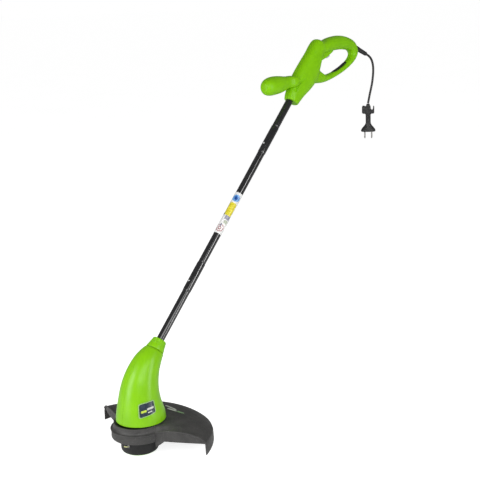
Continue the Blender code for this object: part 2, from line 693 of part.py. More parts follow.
def motor():
    """Universal motor: field pack, armature, commutator, brushes, bearings, fan and end caps."""
    rod("motor_shaft", SHAFT_RADIUS, 13 * MM, 152 * MM, STEEL)
    low, high = FIELD_SPAN
    sleeve("motor_field", ARMATURE_RADIUS + 1 * MM, FIELD_RADIUS, low, high, IRON, 28)
    bore = SHAFT_RADIUS + 0.05 * MM
    armature = [
        (8 * MM, high + 3 * MM), (16 * MM, high + 2 * MM), (17 * MM, high - 3 * MM),
        (ARMATURE_RADIUS, high - 4 * MM), (ARMATURE_RADIUS, low + 4 * MM), (17 * MM, low + 3 * MM),
        (16 * MM, low - 2 * MM), (8 * MM, low - 3 * MM), (bore, low - 3 * MM), (bore, high + 3 * MM),
    ]
    turned("armature", armature, IRON, 24, ring=True)
    low, high = COMMUTATOR_SPAN
    sleeve("commutator", bore, COMMUTATOR_RADIUS, low, high, COPPER, 24)
    for number, side in ((1, 1), (2, -1)):
        reach = COMMUTATOR_RADIUS + GAP
        centre = (side * (reach + 7 * MM), 0, (low + high) / 2)
        box(f"carbon_brush_{number}", (14 * MM, 6 * MM, 7 * MM), centre, CARBON)
    for name, low in (("bearing_lower", 57 * MM), ("bearing_upper", 143 * MM)):
        sleeve(name, SHAFT_RADIUS + 0.05 * MM, BEARING_RADIUS, low, low + 7 * MM, STEEL, 20)
    cap = BEARING_RADIUS + GAP
    lower = [
        (52.5, 71), (52.5, 55.5), (50.5, 53.5), (6, 53.5), (6, 56.5), (cap / MM, 56.5),
        (cap / MM, 65), (13.5, 65), (13.5, 57.2), (49.5, 57.2), (50, 71),
    ]
    turned("motor_base", [(r * MM, z * MM) for r, z in lower], BLACK, 28, ring=True)
    upper = [
        (12.5 * MM, 151 * MM), (14 * MM, 149 * MM), (14 * MM, 141 * MM), (cap, 141 * MM),
        (cap, 150.5 * MM), (5 * MM, 150.5 * MM), (5 * MM, 151 * MM),
    ]
    turned("motor_end_cap", upper, BLACK, 24, ring=True)
    fan = sleeve("cooling_fan", bore, 24 * MM, 66.5 * MM, 68.5 * MM, BLACK, 24)
    blades = 9
    for i in range(blades):
        angle = math.tau * i / blades
        place = (15.5 * MM * math.cos(angle), 15.5 * MM * math.sin(angle), 71 * MM)
        blade = box("fan_blade", (15 * MM, 1.4 * MM, 6 * MM), place, None)
        blade.rotation_euler = (0, 0, angle + math.radians(25))
        boolean(fan, as_cutter(blade), "UNION")


# ---------------------------------------------------------------- shaft


def shaft_tube(name, low, high, swaged, socket):
    """One tube of the shaft: its low end may be reduced, its high end may be a wider socket."""
    outer, inner = [], []
    if swaged is not None:
        outer += [(SWAGED_RADIUS, low), (SWAGED_RADIUS, swaged - 2 * MM), (TUBE_RADIUS, swaged)]
        inner += [(SWAGED_BORE, low), (SWAGED_BORE, swaged + 1 * MM), (TUBE_BORE, swaged + 3 * MM)]
    else:
        outer.append((TUBE_RADIUS, low))
        inner.append((TUBE_BORE, low))
    if socket is not None:
        start = socket - 1 * MM
        outer += [(TUBE_RADIUS, start), (SOCKET_RADIUS, socket + 2 * MM), (SOCKET_RADIUS, high)]
        inner += [(TUBE_BORE, start + 1 * MM), (SOCKET_BORE, socket + 3 * MM), (SOCKET_BORE, high)]
    else:
        outer.append((TUBE_RADIUS, high))
        inner.append((TUBE_BORE, high))
    return lay_on_shaft(turned(name, outer[::-1] + inner, GLOSS, 28, ring=True))


def shaft():
    (low_1, high_1), (low_2, high_2) = SOCKETS
    lead = 8 * MM
    lower = shaft_tube("tube_lower", TUBE_START, high_1, None, low_1)
    middle = shaft_tube("tube_middle", low_1 + lead, high_2, high_1 + 3 * MM, low_2)
    upper = shaft_tube("tube_upper", low_2 + lead, TUBE_END, high_2 + 3 * MM, None)
    for number, (start, outside, inside) in enumerate(((low_1, lower, middle), (low_2, middle, upper)), 1):
        along = start + BUTTON_AHEAD_OF_SOCKET
        reach = SOCKET_RADIUS + BUTTON_PROUD
        profile = [
            (0, reach), (1.6 * MM, reach - 0.3 * MM), (BUTTON_RADIUS, reach - 1.4 * MM),
            (BUTTON_RADIUS, 5 * MM), (0, 5 * MM),
        ]
        button = turned(f"tube_button_{number}", profile, STEEL, 16)
        hole = rod(f"button_hole_{number}", BUTTON_RADIUS + BUTTON_RUNNING_GAP, 3 * MM, 14 * MM, None, 16)
        for piece in (button, hole):
            piece.location = on_shaft(along)
            piece.rotation_euler = (math.pi / 2 - SHAFT_TILT, 0, 0)
        as_cutter(hole)
        boolean(outside, hole)
        boolean(inside, hole)
    low, high = LABEL
    lay_on_shaft(sleeve("label_sleeve", 9.2 * MM, 9.45 * MM, low, high, LABEL_PAPER, 28))
    back = -3.6 * MM
    route = [
        Vector((0, 20 * MM, 158 * MM)), Vector((0, 30 * MM, 176 * MM)), on_shaft(52 * MM, -1 * MM),
        on_shaft(66 * MM, back), on_shaft(200 * MM, back), on_shaft(340 * MM, back),
        on_shaft(480 * MM, back), on_shaft(620 * MM, back), on_shaft(760 * MM, back),
        on_shaft(840 * MM, back), Vector((0, 0.6350, 0.7750)), Vector((0, 0.6620, 0.8080)),
        Vector((0, 0.6780, 0.8360)), Vector((0, 0.6900, 0.8550)), Vector((0, 0.7135, 0.8605)),
    ]
    tube_curve("shaft_cable", route, 2.6 * MM, RUBBER)


# ---------------------------------------------------------------- handle


def oval_loft(name, sections, rings, wall=0.0, skipped=0):
    """A solid of ovals read smoothly through the sections; a wall makes it that much smaller all round."""
    skins = []
    for y1, z1, y2, z2, half in smooth(sections, rings)[skipped:]:
        centre = Vector((0, (y1 + y2) / 2, (z1 + z2) / 2))
        reach = Vector((0, (y1 - y2) / 2, (z1 - z2) / 2))
        reach *= 1 - wall / reach.length
        half = half * MM - wall
        ring = []
        for i in range(RING_POINTS):
            angle = math.tau * (i + 0.5) / RING_POINTS
            c, s = math.cos(angle), math.sin(angle)
            along = math.copysign(abs(c) ** (2 / OVAL_POWER), c)
            across = math.copysign(abs(s) ** (2 / OVAL_POWER), s)
            ring.append(centre + reach * along + Vector((half * across, 0, 0)))
        skins.append(ring)
    return loft(name, skins, LIME)


def handle_halves():
    """Left and right shells, hollow, with room for the shaft, trigger, relief and front handle."""
    loop = as_cutter(oval_loft("handle_loop", LOOP_SECTIONS, LOOP_RINGS))
    body_hollow = as_cutter(oval_loft("body_hollow", BODY_SECTIONS, BODY_RINGS, HANDLE_WALL, 4))
    loop_hollow = as_cutter(oval_loft("loop_hollow", LOOP_SECTIONS, LOOP_RINGS, HANDLE_WALL))
    bore = as_cutter(rod("shaft_bore", TUBE_RADIUS + GAP, 780 * MM, 850 * MM, None, 28))
    lay_on_shaft(bore)
    slot = plate(
        "trigger_slot", ((0.684, 0.800), (0.7535, 0.815), (0.7535, 0.862), (0.684, 0.862)),
        TRIGGER_HALF + 0.5 * MM, None,
    )
    as_cutter(slot)
    root = box(
        "front_handle_socket",
        (24 * MM + 2 * GAP, 44 * MM, 29 * MM + 2 * GAP),
        (0, 0.5903 - 22 * MM, 0.7720),
        None,
    )
    as_cutter(root)
    way = (RELIEF_END - RELIEF_START).normalized()
    exit_bore = rod("relief_bore", 7 * MM + GAP, -20 * MM, 40 * MM, None, 24)
    exit_bore.location = RELIEF_START
    exit_bore.rotation_euler = way.to_track_quat("Z", "Y").to_euler()
    as_cutter(exit_bore)
    for name, side in (("handle_right", -1), ("handle_left", 1)):
        shell = oval_loft(name, BODY_SECTIONS, BODY_RINGS)
        boolean(shell, loop, "UNION")
        other = box(
            f"{name}_other_side", (0.06, 0.5, 0.4), (-side * (0.03 - HALF_GAP), 0.70, 0.80), None
        )
        for cutter in (as_cutter(other), body_hollow, loop_hollow, bore, slot, root, exit_bore):
            boolean(shell, cutter)


def front_handle():
    """The bulb-shaped front handle: a rounded square root that swells to an egg."""
    count = 20
    rings = []
    for y, z, wide, high, power in FRONT_HANDLE_STATIONS:
        ring = []
        for i in range(count):
            angle = math.tau * (i + 0.5) / count
            c, s = math.cos(angle), math.sin(angle)
            x = math.copysign(abs(c) ** (2 / power), c) * wide * MM
            up = math.copysign(abs(s) ** (2 / power), s) * high * MM
            ring.append(Vector((x, y, z + up)))
        rings.append(ring)
    tip = Vector((0, *FRONT_HANDLE_TIP))
    return loft("front_handle", rings, LIME, end_point=tip)


def trigger_group():
    """Trigger on its pin, its return spring and the switch it presses."""
    trigger = plate("trigger", TRIGGER_OUTLINE, TRIGGER_HALF, LIME, 1.2 * MM)
    pin_hole = rod("pin_hole", 1.6 * MM, -12 * MM, 12 * MM, None, 16)
    pin_hole.location = (0, *TRIGGER_PIVOT)
    pin_hole.rotation_euler = (0, math.pi / 2, 0)
    boolean(trigger, as_cutter(pin_hole))
    pin = rod("trigger_pin", 1.5 * MM, -11 * MM, 11 * MM, STEEL, 16)
    pin.location = (0, *TRIGGER_PIVOT)
    pin.rotation_euler = (0, math.pi / 2, 0)
    y, z = SWITCH_AT
    body = box("switch_body", (10 * MM, 20 * MM, 9 * MM), (0, y, z), BLACK, 0.8 * MM)
    low, high = PLUNGER_SPAN
    well = rod("plunger_well", 2.3 * MM, z - 12 * MM, high + 4.3 * MM, None, 16)
    well.location = (0, PLUNGER_Y, 0)
    boolean(body, as_cutter(well))
    plunger = rod("switch_plunger", 2 * MM, low, high, GREY, 16)
    plunger.location = (0, PLUNGER_Y, 0)
    turns, per_turn, wire = 4, 8, 0.45 * MM
    floor, ceiling = 0.8472 + GAP + wire, 0.8680
    coil = []
    for i in range(turns * per_turn + 1):
        angle = math.tau * i / per_turn
        rise = floor + (ceiling - floor) * i / (turns * per_turn)
        coil.append((2.3 * MM * math.cos(angle), SPRING_Y + 2.3 * MM * math.sin(angle), rise))
    tube_curve("trigger_spring", coil, wire, STEEL)


def cord_and_plug():
    """Strain relief, free cord, and a flat two-pin plug with cable hooks."""
    way = RELIEF_END - RELIEF_START
    length = way.length
    profile = [(5.0 * MM, length), (5.4 * MM, length - 1 * MM)]
    ribs = 5
    for i in range(ribs):
        top = length - (5 + 7 * i) * MM
        radius = (5.6 + 0.15 * i) * MM
        profile += [(radius, top + 1.8 * MM), (radius - 0.9 * MM, top + 0.9 * MM)]
        profile += [(radius - 0.9 * MM, top - 0.9 * MM), (radius + 0.1 * MM, top - 1.8 * MM)]
    profile += [(6.8 * MM, 22 * MM), (6.8 * MM, 2 * MM), (6.0 * MM, 0), (0, 0)]
    relief = turned("strain_relief", [(0, length)] + profile, RUBBER, 14)
    relief.location = RELIEF_START
    relief.rotation_euler = way.to_track_quat("Z", "Y").to_euler()
    tube_curve("mains_cord", smooth(CORD_ROUTE, CORD_POINTS), CORD_RADIUS, RUBBER, 2)

    body = plate("plug_body", [(a * MM, b * MM) for a, b in PLUG_OUTLINE], 5.2 * MM, RUBBER, 1 * MM)
    rings = []
    for depth, wide, deep in PLUG_FLARE:
        ring = []
        for i in range(20):
            angle = math.tau * (i + 0.5) / 20
            c, s = math.cos(angle), math.sin(angle)
            across = math.copysign(abs(c) ** 0.8, c) * wide * MM
            ring.append(Vector((math.copysign(abs(s) ** 0.8, s) * deep * MM, across, depth * MM)))
        rings.append(ring)
    flare = loft("plug_flare", rings, RUBBER)
    boolean(body, as_cutter(flare), "UNION")
    for obj in (body, flare):
        obj.location = PLUG_TOP
        obj.rotation_euler = (0, 0, PLUG_TURN - math.pi / 2)
    for number, side in ((1, -1), (2, 1)):
        profile = [
            (0, -GAP), (PIN_RADIUS, -GAP), (PIN_RADIUS, 1.5 * MM - PIN_LENGTH),
            (PIN_RADIUS - 1 * MM, -PIN_LENGTH), (0, -PIN_LENGTH),
        ]
        pin = turned(f"plug_pin_{number}", profile, STEEL, 14)
        offset = side * PIN_SPACING / 2
        pin.location = PLUG_TOP + Vector(
            (math.cos(PLUG_TURN) * offset, math.sin(PLUG_TURN) * offset, -PLUG_LENGTH)
        )


for side_name, side_sign in (("motor_housing_left", 1), ("motor_housing_right", -1)):
    housing_half(side_name, side_sign)
badge()
neck_sleeve()
guard()
line_cutter()
spool_head()
motor()
shaft()
handle_halves()
front_handle()
trigger_group()
cord_and_plug()
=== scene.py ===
"""Looks of the corded string trimmer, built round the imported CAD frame. Metres, in the CAD's frame."""

import math

import bmesh
import bpy
import numpy as np
from mathutils import Matrix, Vector


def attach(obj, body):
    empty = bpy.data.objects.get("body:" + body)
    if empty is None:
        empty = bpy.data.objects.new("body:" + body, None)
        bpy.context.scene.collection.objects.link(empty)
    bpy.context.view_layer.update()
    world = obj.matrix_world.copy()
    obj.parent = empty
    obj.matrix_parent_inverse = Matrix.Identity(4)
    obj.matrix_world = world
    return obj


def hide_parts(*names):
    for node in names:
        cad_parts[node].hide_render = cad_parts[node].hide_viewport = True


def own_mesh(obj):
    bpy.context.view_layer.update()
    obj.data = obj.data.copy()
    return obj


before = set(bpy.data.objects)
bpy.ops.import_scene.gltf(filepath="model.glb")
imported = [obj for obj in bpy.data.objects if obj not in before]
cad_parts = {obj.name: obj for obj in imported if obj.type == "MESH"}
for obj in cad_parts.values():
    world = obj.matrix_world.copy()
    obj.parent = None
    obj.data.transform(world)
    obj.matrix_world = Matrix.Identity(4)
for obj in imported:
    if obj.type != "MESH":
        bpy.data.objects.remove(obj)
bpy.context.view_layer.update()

MM = 0.001

# Camera, at the photograph's viewing angle.
IMAGE_SIDE = 480
FOCAL_LENGTH = 75
SENSOR_WIDTH = 36
CAMERA_PLACE = Vector((1.56694, -1.39302, 0.97259))
CAMERA_RIGHT = Vector((0.75195, 0.65819, -0.03685))
CAMERA_BACK = Vector((0.64695, -0.72607, 0.23299))

# Soft lights: (name, target, azimuth, elevation, distance, width, height, radiance).
SOFTBOXES = (
    ("left_box", (0, 0, 0.15), -17, 22, 1.6, 0.6, 1.3, 7.0),
    ("right_box", (0, 0.1, 0.5), 104, 10, 1.8, 0.26, 1.45, 11.0),
    ("front_box", (0, 0.4, 0.4), 48, 29, 3.0, 2.2, 1.4, 3.6),
)
WORLD_GLOW = 0.19
FLOOR_HALF = 90
FLOOR_DROP = 0.8 * MM
FLOOR_GLOW = (0.1, 0.84)

# Shaft: a straight line in the plane X = 0 that meets the spool's axis at this height.
SHAFT_CROSSING = 156 * MM
SHAFT_TILT = math.radians(45)
SHAFT_AXIS = Vector((0, math.sin(SHAFT_TILT), math.cos(SHAFT_TILT)))
SHAFT_FRONT = Vector((0, -math.cos(SHAFT_TILT), math.sin(SHAFT_TILT)))
SHAFT_PLACE = Matrix.Translation((0, 0, SHAFT_CROSSING)) @ Matrix.Rotation(-SHAFT_TILT, 4, "X")
TUBE_RADIUS = 9.0
TUBE_BORE = 8.0
SWAGED_RADIUS = 8.4
SWAGED_BORE = 7.5
SOCKET_RADIUS = 9.7
SOCKET_BORE = 8.7
SOCKETS = ((243, 320), (642, 721))
TUBE_SPAN = (62, 832)
LABEL = (402, 518)
LABEL_RADIUS = 9.45
BUTTON_AHEAD_OF_SOCKET = 24
BUTTON_RADIUS = 2.8

# Mains cord: the same route as the CAD's, from the strain relief to the plug.
CORD_ROUTE = (
    (0, 0.9063, 0.8194), (0, 0.915, 0.8158), (-0.0002, 0.924, 0.811), (-0.0004, 0.9315, 0.805),
    (-0.0007, 0.9372, 0.7975), (-0.0011, 0.9412, 0.789), (-0.0015, 0.9435, 0.78),
    (-0.002, 0.9444, 0.77), (-0.0026, 0.9442, 0.7595), (-0.0032, 0.943, 0.749),
    (-0.0038, 0.9412, 0.738), (-0.0049, 0.9388, 0.727), (-0.0061, 0.9362, 0.716),
    (-0.0073, 0.9337, 0.705), (-0.0085, 0.9315, 0.694), (-0.0096, 0.9295, 0.6833),
)
CORD_POINTS = 76
CORD_DIAMETER = 6 * MM
RELIEF_START = Vector((0, 0.8465, 0.8432))
RELIEF_END = Vector((0, 0.906, 0.8195))
PLUG_TOP = Vector((-0.0096, 0.9294, 0.683))
PLUG_TURN = math.radians(34)
PLUG_LENGTH = 78 * MM
PLUG_OUTLINE = (
    (-3.6, -0.8), (-4.8, -4.2), (-5.8, -7.6), (-8.2, -8.2), (-10.5, -6.2), (-15, -6.2), (-17, -9.5),
    (-17, -25), (-15.5, -28), (-8, -28.5), (-7, -32), (-7, -57), (7, -57), (7, -32), (8, -28.5),
    (15.5, -28), (17, -26), (17, -9), (15.4, -6.4), (13.8, -8.4), (13.6, -15), (11, -18),
    (8.4, -17), (7.4, -13), (6.8, -8), (4.8, -4.2), (3.6, -0.8),
)
PLUG_HALF = 5.2 * MM
# The flared skirt of the plug: (height, half width, half depth).
PLUG_FLARE = (
    (-38, 5.5, 5.2), (-46, 6.6, 6), (-54, 7.2, 6.4), (-58, 8.6, 7.0), (-62, 11.5, 8), (-66, 15, 9.6),
    (-70, 18, 11), (-73, 19.6, 12), (-75.5, 20, 12.4), (-77.2, 19.6, 12.1), (-78, 18.6, 11.2),
)
PIN_SPACING = 19 * MM
PIN_RADIUS = 2.0
PIN_LENGTH = 19

# Motor housing: (centre y, centre z, tilt in degrees, radius) from the base up to the neck.
HOUSING_STATIONS = (
    (8, 73, 0, 56.3), (8.5, 90, 2, 54.5), (8, 105, 4, 51), (8, 122, 7, 47.3), (10, 142, 12, 43.5),
    (16, 163, 19, 39.5), (26, 183, 26, 35), (39, 200, 33, 30.5), (53, 212, 40, 25.5),
    (60.5, 216.5, 44, 22.8),
)
BADGE_LEFT = (1.08, 2.95)
BADGE_RIGHT = (1.75, 3.36)
BADGE_ANGLES = (-47.5, -1.5)
HOUSING_WALL = 2.2 * MM
VENT_HEIGHTS = (150, 156, 162, 168, 174)
NECK = (86.4, 113)
NECK_RADII = (21.6, 16)

# A near-black ring in the slit between the housing and the guard's collar, painted shade for the dark seam
# there: (radius, height).
SLIT_SHADE_PROFILE = ((50, 71.0), (53.4, 71.0), (53.4, 74.6), (50, 74.6))

# Guard: tables of (radius, height) or (radius, degrees).
DOME = ((54.4, 70.8), (77, 70.6), (93, 69.5), (110, 67.2), (130, 62), (146, 54.3), (156, 47.5), (160, 44))
FRONT_RIDGE = (
    (54.4, 57.5), (77, 61.5), (93, 63.6), (110, 64.2), (130, 62.2), (146, 55.5), (156, 48.2), (160, 44),
)
FAN_EDGE = ((54.4, -11.5), (77, 2), (93, 5.6), (110, 8.4), (130, 11.2), (146, 13.8), (156, 15.4), (160, 16))
LIP_FOOT = ((54.4, 37.4), (77, 38), (93, 39), (110, 40), (130, 41), (146, 41), (156, 40.6), (160, 40))
SKIRT = ((161.2, 40), (161.8, 15.5))
SKIRT_ARCH = 14
RIDGE_BLEND = 14
FAN_WIDENING = 0.058
LEFT_REACH = 5.5
LEFT_DROOP = 3.5
GUARD_WALL = 2.4 * MM
RIDGE_BEAD = 1.8 * MM
COLLAR_PROFILE = (
    (55.6, 71.4), (55.6, 67), (56.6, 62), (59.4, 58.6), (61.6, 58.6), (63.4, 57.4), (63.2, 55.8),
    (61.4, 54.6), (62, 39), (60.5, 37), (46, 37), (44, 38.2), (44, 40.4), (59, 40.4), (59, 54.5),
    (57.4, 57.5), (53.7, 62.5), (53, 67), (53, 71.4),
)
CUTTER_AT = Vector((-134, 32.2, 43)) * MM
CUTTER_TURN = math.radians(-27)

# Spool cover and bump knob: (radius, height) profiles.
COVER_PROFILE = (
    (41.6, 36.2), (42.2, 34), (42.2, 10), (41.5, 6.4), (39.8, 3.8), (38, 2.9), (37.2, 2.9),
    (37.2, 4.8), (39.6, 7.4), (40.2, 11), (40.2, 34), (39.6, 36.2),
)
KNOB_PROFILE = (
    (0, 9.2), (36, 9.2), (36.6, 8.4), (36.6, 2.6), (35.8, 1.2), (33.5, 0.3), (29, 0), (25, 0), (24, 1.0),
    (21.5, 1.0), (20.5, 0), (15, 0), (14, 1.0), (12, 1.0), (11, 0), (0, 0),
)
COVER_RADIUS = 42.2
EYELET_ANGLE = math.radians(-78)
EYELET_HEIGHT = 24.5 * MM
# The end of the cutting line, out through the eyelet and bent back, in the eyelet's frame.
LINE_BEND = ((37, 0, 0), (42, 0, 0), (44.6, -0.6, 0), (46.6, -2.4, 0), (47.4, -5, 0.2), (47.2, -8.3, 0.4))
LATCH_ANGLE = math.radians(35)
LATCH_HEIGHT = 21
COIL_STEPS = 16

# Loop handle: ovals between an upper or front edge (y, z) and a lower or rear edge (y, z), with half
# the thickness in millimetres.
BODY_SECTIONS = (
    (0.56, 0.732, 0.59, 0.7115, 16.5), (0.564, 0.745, 0.601, 0.72, 18.0),
    (0.5745, 0.764, 0.618, 0.7315, 19.5), (0.592, 0.788, 0.64, 0.743, 20.5),
    (0.62, 0.816, 0.663, 0.757, 21.0), (0.649, 0.842, 0.68, 0.783, 20.5),
    (0.669, 0.862, 0.689, 0.808, 20.0), (0.684, 0.8705, 0.702, 0.828, 18.5),
    (0.701, 0.865, 0.711, 0.84, 14.0),
)
LOOP_SECTIONS = (
    (0.678, 0.86, 0.688, 0.833, 15.0), (0.708, 0.8655, 0.713, 0.8335, 17.5),
    (0.74, 0.8725, 0.742, 0.837, 18.0), (0.776, 0.875, 0.778, 0.8388, 17.5),
    (0.812, 0.8695, 0.805, 0.8372, 17.0), (0.843, 0.856, 0.823, 0.834, 15.5),
    (0.8575, 0.834, 0.8325, 0.826, 13.5), (0.852, 0.814, 0.83, 0.819, 12.0),
    (0.83, 0.7965, 0.816, 0.8085, 10.5), (0.795, 0.781, 0.787, 0.794, 10.0),
    (0.755, 0.769, 0.749, 0.7825, 10.5), (0.718, 0.761, 0.714, 0.779, 12.0),
    (0.69, 0.7585, 0.6905, 0.792, 15.0), (0.662, 0.759, 0.665, 0.802, 14.0),
)
OVAL_POWER = 2.4
HANDLE_VOXEL = 1.15 * MM
TRIGGER_OUTLINE = (
    (0.6905, 0.815), (0.7, 0.816), (0.723, 0.8235), (0.742, 0.8325), (0.7495, 0.837),
    (0.75, 0.847), (0.71, 0.8475), (0.704, 0.8485), (0.696, 0.8485), (0.6925, 0.843),
)
TRIGGER_HALF = 7 * MM
TRIGGER_SLOT = ((0.684, 0.8), (0.7535, 0.815), (0.7535, 0.862), (0.684, 0.862))
SLOT_GAP = 0.5 * MM
TRIGGER_SPRING_Y = 0.7462
# Span in y of the near-black strip painted as the shade of the lower bar's slot.
BAR_SLOT_SHADE = (0.748, 0.812)
# Places as (y, z) on the side of the handle; a junction has the reach of its smoothing too.
JUNCTIONS = ((0.667, 0.757, 0.03), (0.712, 0.868, 0.013), (0.688, 0.787, 0.017))
CREASE = ((0.577, 0.752), (0.583, 0.76), (0.591, 0.7675), (0.602, 0.7735), (0.618, 0.78))
CREASE_DEPTH = 3.6 * MM
CREASE_WIDTH = 2.8 * MM
SEAM_REACH = 1.3 * MM
SEAM_DEPTH = 0.45 * MM
HANDLE_SCREWS = (
    (0.604, 0.752), (0.655, 0.8), (0.692, 0.852), (0.795, 0.857), (0.842, 0.828), (0.735, 0.771),
)

# Front handle: (y, centre z, half width, half height, roundness) from its root to its tip.
FRONT_HANDLE_STATIONS = (
    (0.59, 0.772, 19.4, 12, 3), (0.581, 0.772, 20.8, 14.2, 3), (0.571, 0.772, 19, 14.6, 3),
    (0.56, 0.7715, 14, 15, 2.6), (0.544, 0.7695, 16, 18.4, 2.2), (0.526, 0.7686, 19.5, 21.4, 2),
    (0.508, 0.768, 21, 22.5, 2),
    (0.492, 0.767, 20.5, 22, 2), (0.4795, 0.766, 17, 18.5, 2), (0.473, 0.7655, 11.5, 12.5, 2),
)
FRONT_HANDLE_TIP = (0.4705, 0.7652)


# --- geometry helpers


def smooth(points, count):
    """Evenly read points of a Catmull-Rom curve through these points."""
    points = [Vector(p) for p in points]
    ends = [2 * points[0] - points[1], *points, 2 * points[-1] - points[-2]]
    read = []
    for i in range(count):
        place = i * (len(points) - 1) / (count - 1)
        k = min(int(place), len(points) - 2)
        t = place - k
        a, b, c, d = ends[k : k + 4]
        bend = (2 * a - 5 * b + 4 * c - d) * t * t + (3 * b - a - 3 * c + d) * t**3
        read.append(0.5 * (2 * b + (c - a) * t + bend))
    return read


def table(rows, at):
    """The second column of a table, read smoothly at a value of its first."""
    k = 0
    while k < len(rows) - 2 and at > rows[k + 1][0]:
        k += 1
    (x0, y0), (x1, y1) = rows[k], rows[k + 1]
    before = rows[k - 1] if k else (2 * x0 - x1, 2 * y0 - y1)
    after = rows[k + 2] if k + 2 < len(rows) else (2 * x1 - x0, 2 * y1 - y0)
    step = x1 - x0
    left = (y1 - before[1]) / (x1 - before[0]) * step
    right = (after[1] - y0) / (after[0] - x0) * step
    t = min(max((at - x0) / step, 0), 1)
    return (
        y0 * (1 + 2 * t) * (1 - t) ** 2 + left * t * (1 - t) ** 2
        + y1 * t * t * (3 - 2 * t) + right * t * t * (t - 1)
    )


def rounded(profile, radius, closed=True, cuts=4):
    """A profile with each corner rounded by a small curve."""
    points = [Vector(p) for p in profile]
    made = []
    last = len(points) - 1
    for i, p in enumerate(points):
        if not closed and i in (0, last):
            made.append(p)
            continue
        a, c = points[i - 1], points[(i + 1) % len(points)]
        reach = min(radius, 0.45 * (a - p).length, 0.45 * (c - p).length)
        start = p + (a - p).normalized() * reach
        end = p + (c - p).normalized() * reach
        for k in range(cuts + 1):
            t = k / cuts
            made.append(start * (1 - t) ** 2 + p * 2 * t * (1 - t) + end * t * t)
    return made


def squared(angle, power):
    """Cosine and sine, bent towards a rounded square as power falls below 1."""
    return [math.copysign(abs(v) ** power, v) for v in (math.cos(angle), math.sin(angle))]


def turns(count, offset=0.0):
    """Evenly spread angles of a full turn."""
    return [math.tau * (k + offset) / count for k in range(count)]


def facing(at, direction):
    """A place at a point, with its Z axis turned to a direction."""
    return Matrix.Translation(at) @ Vector(direction).to_track_quat("Z", "Y").to_matrix().to_4x4()


def linked(name, data):
    """A new object in the scene."""
    obj = bpy.data.objects.new(name, data)
    bpy.context.scene.collection.objects.link(obj)
    return obj


def cleaned(mesh, weld):
    """The mesh with its close vertices welded and its faces turned outwards."""
    work = bmesh.new()
    work.from_mesh(mesh)
    if weld:
        bmesh.ops.remove_doubles(work, verts=work.verts, dist=weld)
    bmesh.ops.recalc_face_normals(work, faces=work.faces)
    work.to_mesh(mesh)
    work.free()
    return mesh


def mesh_from(name, vertices, faces, weld=0.0):
    mesh = bpy.data.meshes.new(name)
    mesh.from_pydata([tuple(v) for v in vertices], [], faces)
    return cleaned(mesh, weld)


def grid_faces(rows, columns, wrap=False, start=0):
    """Quads over rows of points; wrap joins the last column to the first."""
    faces = []
    for row in range(rows - 1):
        for column in range(columns if wrap else columns - 1):
            a = start + row * columns + column
            b = start + row * columns + (column + 1) % columns
            faces.append((a, b, b + columns, a + columns))
    return faces


def lathe(name, profile, steps=96, ring=True, place=None):
    """Turns a profile of (radius, height), in millimetres, about Z. A ring's profile is closed."""
    vertices = []
    for angle in turns(steps):
        for r, z in profile:
            vertices.append(Vector((r * math.cos(angle), r * math.sin(angle), z)) * MM)
    count = len(profile)
    faces = []
    for i in range(steps):
        j = (i + 1) % steps
        for k in range(count if ring else count - 1):
            m = (k + 1) % count
            faces.append((i * count + k, j * count + k, j * count + m, i * count + m))
    mesh = mesh_from(name, vertices, faces, weld=0.002 * MM)
    if place is not None:
        mesh.transform(place)
    return mesh


def loft(name, rings, end_point=None):
    """A closed skin over rings of equal count, capped at both ends."""
    count = len(rings[0])
    vertices = [v for ring in rings for v in ring]
    faces = grid_faces(len(rings), count, wrap=True)
    faces.append(tuple(range(count)))
    last = (len(rings) - 1) * count
    if end_point is None:
        faces.append(tuple(range(last, last + count)))
    else:
        vertices.append(end_point)
        faces += [(last + i, last + (i + 1) % count, len(vertices) - 1) for i in range(count)]
    return mesh_from(name, vertices, faces)


def block(name, size, centre, turn=(0, 0, 0), bevel=0.0):
    """A box with rounded edges, its sizes in millimetres."""
    work = bmesh.new()
    bmesh.ops.create_cube(work, size=1)
    bmesh.ops.scale(work, vec=[v * MM for v in size], verts=work.verts)
    if bevel:
        edges = list(work.edges)
        bmesh.ops.bevel(work, geom=edges, offset=bevel * MM, segments=3, profile=0.5, affect="EDGES")
    mesh = bpy.data.meshes.new(name)
    work.to_mesh(mesh)
    work.free()
    rotation = Matrix.Rotation(turn[2], 4, "Z") @ Matrix.Rotation(turn[1], 4, "Y")
    place = Matrix.Translation([v * MM for v in centre])
    mesh.transform(place @ rotation @ Matrix.Rotation(turn[0], 4, "X"))
    return mesh


def changed(mesh, *changes):
    """The mesh after a list of modifiers, each a (type, settings) pair."""
    obj = linked(mesh.name, mesh)
    helpers = []
    for kind, settings in changes:
        modifier = obj.modifiers.new(kind.lower(), kind)
        for key, value in settings.items():
            if key == "mesh":
                helpers.append(linked(value.name, value))
                modifier.object = helpers[-1]
            else:
                setattr(modifier, key, value)
    bpy.context.view_layer.update()
    evaluated = obj.evaluated_get(bpy.context.evaluated_depsgraph_get())
    result = bpy.data.meshes.new_from_object(evaluated)
    for helper in (*helpers, obj):
        bpy.data.objects.remove(helper)
    result.name = mesh.name
    return result


def boolean(mesh, others, operation):
    settings = {"operation": operation, "solver": "MANIFOLD"}
    return changed(mesh, *[("BOOLEAN", {"mesh": other, **settings}) for other in others])


def cut(mesh, *tools):
    return boolean(mesh, tools, "DIFFERENCE")


def joined(mesh, *others):
    return boolean(mesh, others, "UNION")


def piece(mesh, mat, body="trimmer", node=None, sharp=38):
    """Shows a mesh as a piece of the object: material, slot, body and the CAD node it stands for."""
    obj = linked(mesh.name.split(".")[0], mesh)
    mesh.materials.clear()
    mesh.materials.append(mat)
    mesh.shade_smooth()
    mesh.set_sharp_from_angle(angle=math.radians(sharp))
    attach(obj, body)
    if node:
        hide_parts(node)
    return obj


